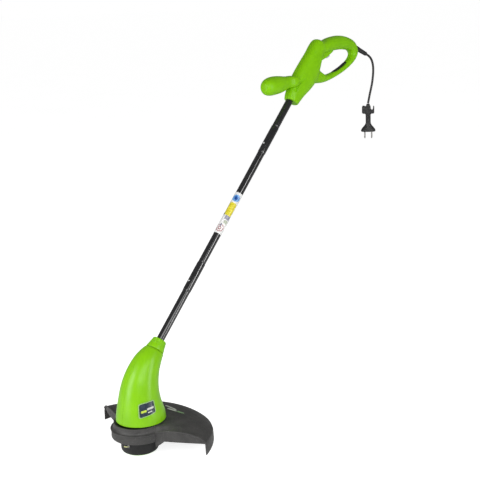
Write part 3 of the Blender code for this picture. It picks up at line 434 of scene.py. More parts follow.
def tube_along(name, points, radius, count=16):
    """A round tube of a given radius along a polyline, as a closed mesh."""
    points = [Vector(p) for p in points]
    rings = []
    side = None
    for i, p in enumerate(points):
        ahead = points[min(i + 1, len(points) - 1)] - points[max(i - 1, 0)]
        ahead.normalize()
        if side is None:
            side = ahead.orthogonal().normalized()
        side = (side - ahead * side.dot(ahead)).normalized()
        up = ahead.cross(side)
        rings.append([p + (side * math.cos(a) + up * math.sin(a)) * radius for a in turns(count)])
    return loft(name, rings)


def on_shaft(along):
    return Vector((0, 0, SHAFT_CROSSING)) + SHAFT_AXIS * along * MM


# --- materials


class Surface:
    """A node material on object coordinates: mottled colour, uneven gloss and fine relief."""

    def __init__(self, name, roughness, metallic=0.0, coat=0.0, specular=0.5):
        self.material = bpy.data.materials.new(name)
        self.material.use_nodes = True
        self.tree = self.material.node_tree
        self.shader = self.tree.nodes["Principled BSDF"]
        settings = {
            "Roughness": roughness, "Metallic": metallic, "Coat Weight": coat, "Coat Roughness": 0.1,
            "Specular IOR Level": specular,
        }
        for key, value in settings.items():
            self.shader.inputs[key].default_value = value
        self.coordinates = self.tree.nodes.new("ShaderNodeTexCoord")
        self.relief = None

    def link(self, output, target):
        self.tree.links.new(output, target)

    def node(self, kind, **inputs):
        made = self.tree.nodes.new(kind)
        for key, value in inputs.items():
            socket = made.inputs[int(key[1:])] if key[0] == "_" else made.inputs[key]
            socket.default_value = value
        return made

    def stretched(self, scale):
        mapping = self.tree.nodes.new("ShaderNodeMapping")
        mapping.inputs["Scale"].default_value = scale
        self.link(self.coordinates.outputs["Object"], mapping.inputs["Vector"])
        return mapping.outputs["Vector"]

    def noise(self, scale, detail=4.0, stretch=None, low=0.35, high=0.65):
        """Noise spread to run from 0 to 1."""
        noise = self.node("ShaderNodeTexNoise", Scale=scale, Detail=detail)
        vector = self.coordinates.outputs["Object"] if stretch is None else self.stretched(stretch)
        self.link(vector, noise.inputs["Vector"])
        spread = self.node("ShaderNodeMapRange", _1=low, _2=high)
        self.link(noise.outputs["Fac"], spread.inputs[0])
        return spread.outputs[0]

    def colour(self, first, second, amount):
        mix = self.tree.nodes.new("ShaderNodeMix")
        mix.data_type = "RGBA"
        self.link(amount, mix.inputs["Factor"])
        for socket, value in ((mix.inputs[6], first), (mix.inputs[7], second)):
            if isinstance(value, tuple):
                socket.default_value = (*value, 1)
            else:
                self.link(value, socket)
        return mix.outputs[2]

    def base(self, first, second, amount):
        made = self.colour(first, second, amount)
        self.link(made, self.shader.inputs["Base Color"])
        return made

    def gloss(self, low, high, amount):
        spread = self.node("ShaderNodeMapRange", _3=low, _4=high)
        self.link(amount, spread.inputs[0])
        self.link(spread.outputs[0], self.shader.inputs["Roughness"])

    def bump(self, amount, strength, distance=0.2 * MM):
        bump = self.node("ShaderNodeBump", Strength=strength, Distance=distance)
        self.link(amount, bump.inputs["Height"])
        if self.relief is not None:
            self.link(self.relief, bump.inputs["Normal"])
        self.relief = bump.outputs["Normal"]
        self.link(self.relief, self.shader.inputs["Normal"])


def moulded(name, first, second, gloss, mottle=28, grain=1500, relief=0.08, speckle=None, **shine):
    """Moulded plastic: slow colour drift, fine grain and uneven gloss."""
    made = Surface(name, gloss[0], **shine)
    colour = made.base(first, second, made.noise(mottle, 5))
    if speckle:
        specks = made.noise(speckle[1], 2, low=0.62, high=0.7)
        made.base(colour, speckle[0], specks)
    made.gloss(gloss[0], gloss[1], made.noise(grain / 12, 5))
    made.bump(made.noise(mottle * 2.2, 3, low=0.2, high=0.8), relief * 0.8, 0.5 * MM)
    made.bump(made.noise(grain, 3, low=0.2, high=0.8), relief, 0.08 * MM)
    return made.material


def metal(name, first, second, gloss, stretch=(1, 1, 1), grain=900):
    """Worked metal: slow colour drift and fine scratches along one direction."""
    made = Surface(name, gloss[0], metallic=1.0)
    made.base(first, second, made.noise(60, 5))
    scratches = made.noise(grain, 4, stretch=stretch)
    made.gloss(gloss[0], gloss[1], scratches)
    made.bump(scratches, 0.12, 0.04 * MM)
    return made.material


LIME = moulded(
    "lime_plastic", (0.22, 0.56, 0.002), (0.25, 0.61, 0.004), (0.28, 0.36), relief=0.05, specular=0.36
)
# The handle's lime: a darker copy of the housing's lime, painted shade for the dimmer light on the handle.
LIME_SHADED = moulded(
    "lime_handle", (0.195, 0.51, 0.001), (0.225, 0.56, 0.002), (0.3, 0.4), relief=0.06, specular=0.2
)
GREY = moulded(
    "guard_plastic", (0.042, 0.041, 0.04), (0.06, 0.058, 0.056), (0.42, 0.58), mottle=45,
    grain=1100, relief=0.25, speckle=((0.1, 0.1, 0.097), 420),
)
CAP = moulded(
    "cap_plastic", (0.006, 0.006, 0.006), (0.012, 0.012, 0.012), (0.36, 0.5), mottle=90, relief=0.16
)
TUBE = moulded(
    "tube_paint", (0.01, 0.01, 0.011), (0.016, 0.016, 0.017), (0.13, 0.16), mottle=60, relief=0.012,
    coat=0.7,
)
RUBBER = moulded(
    "lead_rubber", (0.012, 0.012, 0.012), (0.022, 0.022, 0.021), (0.42, 0.55), mottle=120, relief=0.2
)
PLUG = moulded(
    "plug_rubber", (0.006, 0.006, 0.006), (0.018, 0.018, 0.018), (0.4, 0.58), mottle=260,
    grain=900, relief=0.35, speckle=((0.075, 0.075, 0.074), 300),
)
NAVY = moulded(
    "badge_navy", (0.02, 0.032, 0.05), (0.04, 0.058, 0.08), (0.2, 0.3), mottle=160, relief=0.06
)
RIM = moulded("badge_rim", (0.3, 0.52, 0.16), (0.38, 0.6, 0.24), (0.25, 0.35), mottle=160)
PALE = moulded("pale_print", (0.55, 0.58, 0.52), (0.7, 0.72, 0.66), (0.3, 0.4), mottle=200)
MINT = moulded("mint_print", (0.2, 0.36, 0.16), (0.3, 0.48, 0.24), (0.3, 0.4), mottle=200)
BRIGHT = moulded("bright_print", (0.5, 0.66, 0.05), (0.62, 0.74, 0.1), (0.3, 0.4), mottle=200)
FILM = moulded("label_film", (0.78, 0.79, 0.78), (0.88, 0.88, 0.87), (0.28, 0.38), mottle=70, relief=0.05)
YELLOW = moulded("label_yellow", (0.66, 0.56, 0.02), (0.8, 0.72, 0.06), (0.28, 0.38), mottle=160)
DEEP_BLUE = moulded("label_deep_blue", (0.004, 0.05, 0.26), (0.01, 0.09, 0.38), (0.28, 0.38), mottle=220)
BLUE = moulded("label_blue", (0.05, 0.22, 0.58), (0.22, 0.46, 0.8), (0.28, 0.38), mottle=220)
LILAC = moulded("label_grey", (0.25, 0.25, 0.33), (0.38, 0.38, 0.46), (0.28, 0.38), mottle=180)
SAGE = moulded("label_sage", (0.42, 0.47, 0.36), (0.55, 0.58, 0.48), (0.28, 0.38), mottle=180)
ROSE = moulded("label_rose", (0.34, 0.14, 0.15), (0.55, 0.3, 0.31), (0.28, 0.38), mottle=180)
TAB = moulded("trigger_tab", (0.52, 0.52, 0.62), (0.66, 0.66, 0.74), (0.3, 0.4), mottle=200)
STEEL = metal("bright_steel", (0.5, 0.5, 0.51), (0.64, 0.64, 0.65), (0.22, 0.36), stretch=(1, 1, 8))
DARK_STEEL = metal("cutter_steel", (0.16, 0.16, 0.17), (0.26, 0.26, 0.27), (0.3, 0.45), stretch=(6, 1, 1))
PIN = metal(
    "pin_nickel", (0.26, 0.25, 0.24), (0.34, 0.33, 0.32), (0.35, 0.45), stretch=(1, 1, 6), grain=240
)
IRON = metal(
    "laminated_iron", (0.14, 0.14, 0.15), (0.24, 0.24, 0.25), (0.4, 0.55), stretch=(1, 1, 14), grain=260
)
COPPER = metal("copper", (0.6, 0.25, 0.09), (0.76, 0.37, 0.16), (0.25, 0.4), stretch=(10, 10, 1))
CARBON = moulded(
    "carbon", (0.016, 0.016, 0.016), (0.032, 0.032, 0.032), (0.55, 0.75), mottle=300, relief=0.3
)
NYLON = moulded("nylon_line", (0.76, 0.78, 0.3), (0.88, 0.88, 0.52), (0.28, 0.38), mottle=300)
SPOOL = moulded("spool_plastic", (0.09, 0.09, 0.092), (0.13, 0.13, 0.132), (0.42, 0.55), mottle=80)


# --- camera, floor and light


def camera():
    data = bpy.data.cameras.new("camera")
    data.lens = FOCAL_LENGTH
    data.sensor_width = SENSOR_WIDTH
    data.shift_x = -0.5 / IMAGE_SIDE
    data.shift_y = 0.5 / IMAGE_SIDE
    data.clip_start = 0.05
    data.clip_end = 400
    back = CAMERA_BACK.normalized()
    up = back.cross(CAMERA_RIGHT.normalized()).normalized()
    place = Matrix((up.cross(back), up, back)).transposed().to_4x4()
    place.translation = CAMERA_PLACE
    obj = linked("camera", data)
    obj.matrix_world = place
    bpy.context.scene.camera = obj


def floor():
    """A wide pale ground, just under the knob."""
    work = bmesh.new()
    bmesh.ops.create_grid(work, x_segments=12, y_segments=12, size=FLOOR_HALF)
    mesh = bpy.data.meshes.new("ground")
    work.to_mesh(mesh)
    work.free()
    mesh.transform(Matrix.Translation((0, 0, -FLOOR_DROP)))
    paint = Surface("ground_white", 0.9, specular=0.1)
    paint.base((0.8, 0.8, 0.8), (0.83, 0.83, 0.83), paint.noise(2, 3))
    paint.shader.inputs["Emission Color"].default_value = (1, 1, 1, 1)
    rays = paint.tree.nodes.new("ShaderNodeLightPath")
    glow = paint.node("ShaderNodeMapRange", _3=FLOOR_GLOW[0], _4=FLOOR_GLOW[1])
    paint.link(rays.outputs["Is Camera Ray"], glow.inputs[0])
    paint.link(glow.outputs[0], paint.shader.inputs["Emission Strength"])
    mesh.materials.append(paint.material)
    linked("ground", mesh)


def softbox(name, target, azimuth, elevation, distance, width, height, radiance):
    """A soft light aimed at a point. Azimuth 0 stands on the -Y side and 90 on +X."""
    target = Vector(target)
    a, e = math.radians(azimuth), math.radians(elevation)
    back = Vector((math.sin(a) * math.cos(e), -math.cos(a) * math.cos(e), math.sin(e)))
    data = bpy.data.lights.new(name, "AREA")
    data.shape = "RECTANGLE"
    data.size = width
    data.size_y = height
    data.energy = radiance * math.pi * width * height
    linked(name, data).matrix_world = facing(target + back * distance, back)


def studio():
    """Three soft lights and a dim white world that the camera sees as plain white."""
    world = bpy.data.worlds.new("studio")
    bpy.context.scene.world = world
    world.use_nodes = True
    tree = world.node_tree
    lit, shown = tree.nodes["Background"], tree.nodes.new("ShaderNodeBackground")
    rays = tree.nodes.new("ShaderNodeLightPath")
    mix = tree.nodes.new("ShaderNodeMixShader")
    tree.links.new(rays.outputs["Is Camera Ray"], mix.inputs[0])
    for socket, background, strength in ((1, lit, WORLD_GLOW), (2, shown, 1.0)):
        background.inputs["Color"].default_value = (1, 1, 1, 1)
        background.inputs["Strength"].default_value = strength
        tree.links.new(background.outputs[0], mix.inputs[socket])
    tree.links.new(mix.outputs[0], tree.nodes["World Output"].inputs["Surface"])
    for row in SOFTBOXES:
        softbox(*row)
    bpy.context.scene.view_settings.view_transform = "Standard"


# --- lead and plug


def polyline(curve, points):
    """Adds one spline of straight steps through these points."""
    spline = curve.splines.new("POLY")
    spline.points.add(len(points) - 1)
    for point, at in zip(spline.points, points):
        point.co = (*at, 1)
    return spline


def lead():
    """Strain relief, free cord and plug. The cord hangs as a curve of one spline."""
    way = RELIEF_END - RELIEF_START
    length = way.length / MM
    profile = [(0, length), (4.4, length), (5.3, length - 0.9), (5.4, length - 2.6)]
    for i in range(5):
        top = length - 5 - 7 * i
        radius = 5.5 + 0.14 * i
        groove = radius - 0.9
        profile += [
            (radius, top + 2.2), (groove, top + 1.0), (groove, top - 1.0), (radius + 0.1, top - 2.2),
        ]
    profile += [(6.7, 22.6), (6.8, 21.4), (6.8, 2), (6.0, 0), (0, 0)]
    profile = rounded(profile, 0.5, closed=False)
    mesh = lathe("strain_relief_sleeve", profile, 64, ring=False, place=facing(RELIEF_START, way))
    piece(mesh, RUBBER, node="strain_relief", sharp=60)

    curve = bpy.data.curves.new("mains_lead", "CURVE")
    curve.dimensions = "3D"
    curve.bevel_depth = CORD_DIAMETER / 2
    curve.bevel_resolution = 6
    curve.use_fill_caps = True
    points = smooth(CORD_ROUTE, CORD_POINTS)
    polyline(curve, points)
    cord = linked("mains_lead", curve)
    curve.materials.append(RUBBER)
    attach(cord, "trimmer")
    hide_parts("mains_cord")
    measured = sum((b - a).length for a, b in zip(points, points[1:]))
    parts = plug()
    tuple(CORD_ROUTE[0])


def flat_outline(name, outline, half, bevel):
    """A flat moulding with its outline in (y, z) metres, its thickness across X, and rounded edges."""
    curve = bpy.data.curves.new(name, "CURVE")
    curve.dimensions = "2D"
    curve.fill_mode = "BOTH"
    curve.extrude = half - bevel
    curve.bevel_depth = bevel
    curve.bevel_resolution = 4
    curve.offset = -bevel
    polyline(curve, [(at[0], at[1], 0) for at in outline]).use_cyclic_u = True
    flat = linked(name, curve)
    bpy.context.view_layer.update()
    mesh = bpy.data.meshes.new_from_object(flat.evaluated_get(bpy.context.evaluated_depsgraph_get()))
    bpy.data.objects.remove(flat)
    mesh.transform(Matrix(((0, 0, 1, 0), (1, 0, 0, 0), (0, 1, 0, 0), (0, 0, 0, 1))))
    mesh.name = name
    return cleaned(mesh, 0.01 * MM)


def plug():
    """Flat plug with cable hooks, a flared skirt with finger ribs, and two pins."""
    outline = [(p[0] * MM, p[1] * MM) for p in rounded(PLUG_OUTLINE, 1.6, cuts=3)]
    place = Matrix.Translation(PLUG_TOP) @ Matrix.Rotation(PLUG_TURN - math.pi / 2, 4, "Z")
    body = flat_outline("plug_moulding", outline, PLUG_HALF, 1.2 * MM)
    rings = []
    for height, wide, deep in smooth(PLUG_FLARE, 40):
        bends = [squared(angle, 0.8) for angle in turns(56, 0.5)]
        rings.append([Vector((s * deep, c * wide, height)) * MM for c, s in bends])
    shell = joined(body, loft("plug_flare", rings))
    ribs = []
    for i in range(4):
        for side in (1, -1):
            ribs.append(block("rib", (1.6, 11, 1.5), (side * 6.0, 0, -34 - 5 * i), bevel=0.5))
    shell = joined(shell, *ribs)
    shell.transform(place)
    shell.name = "plug_moulding"
    made = [piece(shell, PLUG, node="plug_body", sharp=45)]
    for number, side in ((1, -1), (2, 1)):
        r = PIN_RADIUS
        profile = [(0, 4), (r, 4), (r, 1.2 - PIN_LENGTH), (r - 1.1, -PIN_LENGTH), (0, -PIN_LENGTH)]
        profile = rounded(profile, 0.8, closed=False)
        offset = side * PIN_SPACING / 2
        at = PLUG_TOP + Vector((math.cos(PLUG_TURN) * offset, math.sin(PLUG_TURN) * offset, -PLUG_LENGTH))
        mesh = lathe(f"contact_pin_{number}", profile, 40, ring=False, place=Matrix.Translation(at))
        made.append(piece(mesh, PIN, node=f"plug_pin_{number}", sharp=50))
    return made


# --- motor head


def housing_point(station, angle, outwards=0.0):
    """A point of the housing's outer skin: station counts along HOUSING_STATIONS, angle 0 faces +X."""
    stations = [Vector(row) for row in HOUSING_STATIONS]
    k = min(int(station), len(stations) - 2)
    t = station - k
    before, after = stations[max(k - 1, 0)], stations[min(k + 2, len(stations) - 1)]
    a, b = stations[k], stations[k + 1]
    bend = (2 * before - 5 * a + 4 * b - after) * t * t + (3 * a - before - 3 * b + after) * t**3
    y, z, tilt, radius = 0.5 * (2 * a + (b - before) * t + bend)
    radius = radius * MM + outwards
    tilt = math.radians(tilt)
    across = radius * math.sin(angle)
    y, z = y * MM + across * math.cos(tilt), z * MM - across * math.sin(tilt)
    return Vector((radius * math.cos(angle), y, z))


def housing():
    """Two half shells with a fine seam, a rolled base edge and vent slots at the back."""
    last = len(HOUSING_STATIONS) - 1
    rows = [0, 0.02, 0.05, 0.09] + [0.14 + (last - 0.2) * i / 90 for i in range(91)] + [last - 0.02, last]
    tucks = {0: -1.1, 1: -0.5, 2: -0.18, 3: -0.04}
    edge = [0, 0.25, 0.5, 0.8, 1.3]
    columns = [math.radians(d - 90) for d in edge]
    columns += [math.radians(2 + 176 * i / 64 - 90) for i in range(65)]
    columns += [math.radians(90 - d) for d in reversed(edge)]
    dips = {0: -0.22, 1: -0.12, 2: -0.04}
    for side, name, node in (
        (1, "housing_shell_left", "motor_housing_left"), (-1, "housing_shell_right", "motor_housing_right"),
    ):
        vertices = []
        for i, station in enumerate(rows):
            tuck = tucks.get(i, 0) + tucks.get(len(rows) - 1 - i, 0) * 0.6
            for j, angle in enumerate(columns):
                dip = dips.get(j, 0) + dips.get(len(columns) - 1 - j, 0)
                point = housing_point(station, angle, (dip + tuck) * MM)
                vertices.append(Vector((side * max(point.x, 0.1 * MM), point.y, point.z)))
        mesh = mesh_from(name, vertices, grid_faces(len(rows), len(columns)))
        if sum(f.normal.x * side for f in mesh.polygons) < 0:
            mesh.flip_normals()
        wall = {"thickness": HOUSING_WALL, "offset": -1, "use_even_offset": False}
        vents = []
        for height in VENT_HEIGHTS:
            turn = (math.radians(-25), 0, 0)
            vents.append(block("vent", (26, 40, 2.4), (side * 16.3, 66, height), turn, bevel=0.8))
        mesh = cut(changed(mesh, ("SOLIDIFY", wall)), *vents)
        piece(mesh, LIME, node=node, sharp=50)


def decal(name, place, base, thickness, mat, node=None, power=2.0, hole=0.0):
    """A thin closed patch on a surface, base and thickness in millimetres. place(x, y, lift) gives its
    points: x and y run from -1 to 1."""
    rings, spokes = 9, 72
    vertices = []
    for lift in (base * MM, (base + thickness) * MM):
        for i in range(rings + 1):
            share = hole + (1 - hole) * (i + 0.5 * (not hole)) / (rings + 0.5 * (not hole))
            for angle in turns(spokes):
                c, s = math.cos(angle), math.sin(angle)
                reach = (abs(c) ** power + abs(s) ** power) ** (-1 / power)
                vertices.append(place(c * reach * share, s * reach * share, lift))
    layer = (rings + 1) * spokes
    faces = grid_faces(rings + 1, spokes, wrap=True)
    faces += grid_faces(rings + 1, spokes, wrap=True, start=layer)
    outer = rings * spokes
    for k in range(spokes):
        m = (k + 1) % spokes
        faces.append((outer + k, outer + m, layer + outer + m, layer + outer + k))
        if hole:
            faces.append((k, m, layer + m, layer + k))
    if not hole:
        faces += [tuple(range(spokes)), tuple(range(layer, layer + spokes))]
    piece(mesh_from(name, vertices, faces), mat, node=node, sharp=40)


def badge():
    """A plain dark plate with a raised rim and three short bars."""
    first, last = (math.radians(a) for a in BADGE_ANGLES)

    def place(x, y, lift):
        column, row = (x + 1) / 2, (y + 1) / 2
        low = BADGE_LEFT[0] + (BADGE_RIGHT[0] - BADGE_LEFT[0]) * column
        high = BADGE_LEFT[1] + (BADGE_RIGHT[1] - BADGE_LEFT[1]) * column
        return housing_point(low + (high - low) * row, first + (last - first) * column, lift)

    def part_of(x0, y0, x1, y1):
        middle_x, middle_y, wide, high = (x0 + x1) / 2, (y0 + y1) / 2, x1 - x0, y1 - y0
        return lambda x, y, lift: place(middle_x + x * wide / 2, middle_y + y * high / 2, lift)

    decal("badge_face", place, 0.3, 0.9, NAVY, "badge_plate", power=9)
    decal("badge_rim", place, 0.35, 1.15, RIM, power=9, hole=0.9)
    bars = (
        (-0.72, -0.28, -0.1, 0.02, BRIGHT), (-0.04, -0.12, 0.78, 0.18, PALE),
        (0.02, -0.55, 0.5, -0.38, PALE),
    )
    for number, (*corners, mat) in enumerate(bars, 1):
        decal(f"badge_bar_{number}", part_of(*corners), 1.1, 0.35, mat, power=6)


def neck():
    """The ribbed sleeve that clamps the shaft into the housing's neck."""
    low, high = NECK
    wide, narrow = NECK_RADII
    bore = TUBE_RADIUS + 0.3
    profile = [(narrow - 1.2, high), (narrow, high - 1.2)]
    for i in range(3):
        along = high - 5 - 4 * i
        radius = narrow + (wide - narrow) * (high - along) / (high - low)
        groove = radius - 0.8
        profile += [(radius, along + 1.3), (groove, along + 0.7)]
        profile += [(groove, along - 0.7), (radius + 0.3, along - 1.3)]
    profile += [(wide, low + 1.5), (wide - 1.2, low), (bore, low), (bore, high)]
    mesh = lathe("neck_clamp", rounded(profile, 0.5), 96, place=SHAFT_PLACE)
    piece(mesh, LIME, node="neck_sleeve", sharp=60)


def fan_point(radius, degrees, height):
    """A point of the guard. The fan widens towards its rim, and its left wing reaches out and droops."""
    turn = math.radians(degrees)
    far = radius / DOME[-1][0]
    x = radius * (1 + FAN_WIDENING * far * far) * math.cos(turn)
    if x < 0:
        reach = far**4 * math.cos(turn) ** 2
        x -= LEFT_REACH * reach
        height -= LEFT_DROOP * reach
    return Vector((x, radius * math.sin(turn), height)) * MM


def dome_height(radius, from_edge):
    """The dome's height, which falls to the ridge within some degrees of either straight edge."""
    rise = min(from_edge / RIDGE_BLEND, 1)
    rise = rise * rise * (3 - 2 * rise)
    ridge = table(FRONT_RIDGE, radius)
    return ridge + (table(DOME, radius) - ridge) * rise


def guard():
    """The domed fan with its lips and skirt, thickened and joined to the turned collar."""
    inner, outer = DOME[0][0], DOME[-1][0]
    radii = [inner + (outer - inner) * i / 44 for i in range(45)]
    lip_rows, skirt_rows = 6, 12
    fine = [0.0, 0.003, 0.007, 0.012, 0.018, 0.026]
    shares = fine + [0.035 + 0.93 * i / 96 for i in range(97)] + [1 - s for s in reversed(fine)]
    edge = table(FAN_EDGE, outer)
    columns = []
    for share in shares:
        column = []
        for r in radii:
            e = table(FAN_EDGE, r)
            turn = (180 - 2 * e) * share
            column.append(fan_point(r, e + turn, dome_height(r, min(turn, 180 - 2 * e - turn))))
        rim = edge + (180 - 2 * edge) * share
        (r1, z1), (r2, z2) = SKIRT
        z2 += SKIRT_ARCH - SKIRT_ARCH * abs(2 * share - 1) ** 2
        for k in range(1, lip_rows + 1):
            t = k / lip_rows
            column.append(fan_point(outer + (r1 - outer) * t, rim, table(DOME, outer) * (1 - t) + z1 * t))
        for k in range(1, skirt_rows + 1):
            t = k / skirt_rows
            column.append(fan_point(r1 + (r2 - r1) * t, rim, z1 + (z2 - z1) * t))
        columns.append(column)
    count = len(columns[0])
    vertices = [p for column in columns for p in column]
    faces = grid_faces(len(columns), count)
    for first, sign in ((columns[0], 1), (columns[-1], -1)):
        start = len(vertices)
        for i, r in enumerate(radii):
            foot = table(LIP_FOOT, r)
            for k in range(lip_rows + 1):
                t = k / lip_rows
                if i == len(radii) - 1:
                    vertices.append(first[i + k])
                    continue
                point = fan_point(r, table(FAN_EDGE, r) + 0.2 * t, first[i].z / MM * (1 - t) + foot * t)
                vertices.append(Vector((sign * point.x, point.y, point.z)))
        faces += grid_faces(len(radii), lip_rows + 1, start=start)
    mesh = mesh_from("guard_shell", vertices, faces, weld=0.02 * MM)
    if sum(f.normal.z * f.area for f in mesh.polygons) < 0:
        mesh.flip_normals()
    ridge = {"width": 1.6 * MM, "segments": 3, "limit_method": "ANGLE", "angle_limit": math.radians(38)}
    wall = {"thickness": GUARD_WALL, "offset": -1, "use_even_offset": True}
    mesh = changed(mesh, ("BEVEL", ridge), ("SOLIDIFY", wall))
    collar = lathe("collar", rounded(COLLAR_PROFILE, 1.0), 144)
    rib = block("rib", (18, 2.6, 15.5), (0, 0, 0))
    for vertex in rib.vertices:
        if vertex.co.x > 0 and vertex.co.z < 0:
            vertex.co.z += 12 * MM
    at = (67.6 * MM, -2.8 * MM, 31.8 * MM)
    rib.transform(Matrix.Translation(at) @ Matrix.Rotation(math.radians(40), 4, "Z"))
    beads = []
    for first in (columns[0], columns[-1]):
        line = [first[i] + Vector((0, -0.3 * MM, 0.1 * MM)) for i in range(3, len(radii) - 1)]
        beads.append(tube_along("bead", line, RIDGE_BEAD))
    mesh = joined(mesh, collar, rib, *beads)
    piece(mesh, GREY, node="guard", sharp=32)


def guard_marks():
    """Three plain printed strips on the dome."""

    def strip(start, end, half_width):
        start, end = Vector(start), Vector(end)
        middle, reach = (start + end) / 2, (end - start) / 2
        across = Vector((-reach.y, reach.x)).normalized() * half_width

        def place(x, y, lift):
            at = middle + reach * x + across * y
            return Vector((at.x, at.y, dome_height(at.length, 60))) * MM + Vector((0, 0, lift))

        return place

    strips = (
        ((-12, 97), (26, 93), 2.4, PALE), ((6, 86), (33, 87.5), 2.8, PALE), ((34, 88), (53, 91), 2.6, MINT),
    )
    for number, (*lie, mat) in enumerate(strips, 1):
        decal(f"guard_strip_{number}", strip(*lie), 0.02, 0.3, mat, power=6)


def screw(name, at, direction, radius):
    """A pan-head screw with a cross recess, its head standing on the surface."""
    profile = [(0, 2.0), (radius * 0.72, 1.9), (radius, 1.1), (radius, -0.8), (0, -0.8)]
    head = lathe(name, rounded(profile, 0.4, closed=False), 40, ring=False)
    wide = radius * 1.2
    head = cut(head, *[block("arm", (*size, 2.2), (0, 0, 2.0)) for size in ((wide, 0.8), (0.8, wide))])
    head.transform(facing(at, direction))
    head.name = name
    piece(head, STEEL, sharp=40)


def line_cutter():
    """The blade under the left wing, with a ground edge and its two screws."""
    blade = block("blade", (26, 1.2, 20), (0, 0, 0), bevel=0.3)
    for vertex in blade.vertices:
        if vertex.co.z < 0 and vertex.co.x > 0:
            vertex.co.x -= 7 * MM
        if vertex.co.z < -9 * MM:
            vertex.co.y *= 0.3
    place = Matrix.Translation(CUTTER_AT) @ Matrix.Rotation(CUTTER_TURN, 4, "Z")
    blade.transform(place)
    blade.name = "cutter_blade"
    piece(blade, DARK_STEEL, node="line_cutter", sharp=30)
    for number, offset in ((1, -6.5), (2, 5.5)):
        at = place @ Vector((offset * MM, -0.7 * MM, 3.5 * MM))
        screw(f"cutter_screw_{number}", at, place.to_3x3() @ Vector((0, -1, 0)), 2.4)


def spool_cover():
    """Black cover with a stepped rim, latch windows and eyelets; lime bump knob with a ringed foot."""
    sideways = Matrix.Rotation(math.pi / 2, 4, "Y")
    spins = [
        Matrix.Translation((0, 0, EYELET_HEIGHT)) @ Matrix.Rotation(EYELET_ANGLE + turn, 4, "Z")
        for turn in (0, math.pi)
    ]
    latch_angles = [LATCH_ANGLE, LATCH_ANGLE + math.pi]

    def latch_centre(angle, reach):
        return reach * math.cos(angle), reach * math.sin(angle), LATCH_HEIGHT

    holes = []
    for spin, angle in zip(spins, latch_angles):
        bore = [(0, 50), (3.6, 50), (3.6, 30), (0, 30)]
        holes.append(lathe("hole", bore, 40, ring=False, place=spin @ sideways))
        holes.append(block("window", (10, 13, 10), latch_centre(angle, 41.2), (0, 0, angle), bevel=1.2))
    shell = cut(lathe("spool_cap", rounded(COVER_PROFILE, 0.9), 144), *holes)
    shell.name = "spool_cap"
    piece(shell, CAP, "spindle", "spool_cover", sharp=40)

    mesh = lathe("bump_button", rounded(KNOB_PROFILE, 0.6, closed=False), 120, ring=False)
    piece(mesh, LIME, "bump", "bump_knob", sharp=50)

    for number, spin, angle in zip((1, 2), spins, latch_angles):
        r = COVER_RADIUS
        ring = [(2.0, r + 1.4), (3.9, r + 1.0), (3.9, r + 0.4)]
        ring += [(3.3, r + 0.3), (3.3, r - 3.4), (1.8, r - 3.4)]
        mesh = lathe(f"eyelet_{number}", rounded(ring, 0.4), 40, place=spin @ sideways)
        piece(mesh, DARK_STEEL, "spindle", f"line_eyelet_{number}", sharp=60)
        bend = [spin @ (Vector(p) * MM) for p in LINE_BEND]
        mesh = tube_along(f"line_end_{number}", smooth(bend, 36), 1.25 * MM, 20)
        piece(mesh, NYLON, "spindle", f"cutting_line_{number}", sharp=60)
        ridges = [block("ridge", (1.0, 8, 0.9), (1.6, 0, height), bevel=0.3) for height in (-2.2, 0, 2.2)]
        tab = joined(block("tab", (3.2, 12, 9), (0, 0, 0), bevel=0.7), *ridges)
        place = Matrix.Translation([v * MM for v in latch_centre(angle, 41.5)])
        tab.transform(place @ Matrix.Rotation(angle, 4, "Z"))
        tab.name = f"latch_tab_{number}"
        piece(tab, CAP, f"latch_{number}", f"cover_latch_{number}", sharp=40)


# --- shaft


def shaft():
    """Three tubes with swaged joints and spring buttons."""
    (low_1, high_1), (low_2, high_2) = SOCKETS
    start, end = TUBE_SPAN
    spans = (
        ("shaft_lower", start, high_1, None, low_1, "tube_lower"),
        ("shaft_middle", low_1 + 8, high_2, high_1 + 3, low_2, "tube_middle"),
        ("shaft_upper", low_2 + 8, end, high_2 + 3, None, "tube_upper"),
    )
    forwards = Matrix.Rotation(math.pi / 2 - SHAFT_TILT, 4, "X")
    buttons = [
        Matrix.Translation(on_shaft(low + BUTTON_AHEAD_OF_SOCKET)) @ forwards for low in (low_1, low_2)
    ]
    for index, (name, low, high, swaged, socket, node) in enumerate(spans):
        outer, inner = [], []
        if swaged is not None:
            outer += [(SWAGED_RADIUS, low), (SWAGED_RADIUS, swaged - 2), (TUBE_RADIUS, swaged)]
            inner += [(SWAGED_BORE, low), (SWAGED_BORE, swaged + 1), (TUBE_BORE, swaged + 3)]
        else:
            outer.append((TUBE_RADIUS, low))
            inner.append((TUBE_BORE, low))
        if socket is not None:
            outer += [(TUBE_RADIUS, socket - 1), (SOCKET_RADIUS, socket + 2), (SOCKET_RADIUS, high)]
            inner += [(TUBE_BORE, socket), (SOCKET_BORE, socket + 3), (SOCKET_BORE, high)]
        else:
            outer.append((TUBE_RADIUS, high))
            inner.append((TUBE_BORE, high))
        mesh = lathe(name, rounded(outer[::-1] + inner, 0.5), 96, place=SHAFT_PLACE)
        holes = []
        for number, turn in enumerate(buttons):
            if index in (number, number + 1):
                bore = [(0, 14), (3.05, 14), (3.05, 3), (0, 3)]
                holes.append(lathe("hole", bore, 40, ring=False, place=turn))
        mesh = cut(mesh, *holes)
        mesh.name = name
        piece(mesh, TUBE, node=node, sharp=40)
    reach, r = SOCKET_RADIUS + 2.2, BUTTON_RADIUS
    profile = rounded([(0, reach), (1.6, reach - 0.3), (r, reach - 1.4), (r, 5), (0, 5)], 0.6, closed=False)
    for number, turn in enumerate(buttons, 1):
        mesh = lathe(f"spring_button_{number}", profile, 40, ring=False, place=turn)
        piece(mesh, STEEL, f"button_{number}", f"tube_button_{number}", sharp=50)


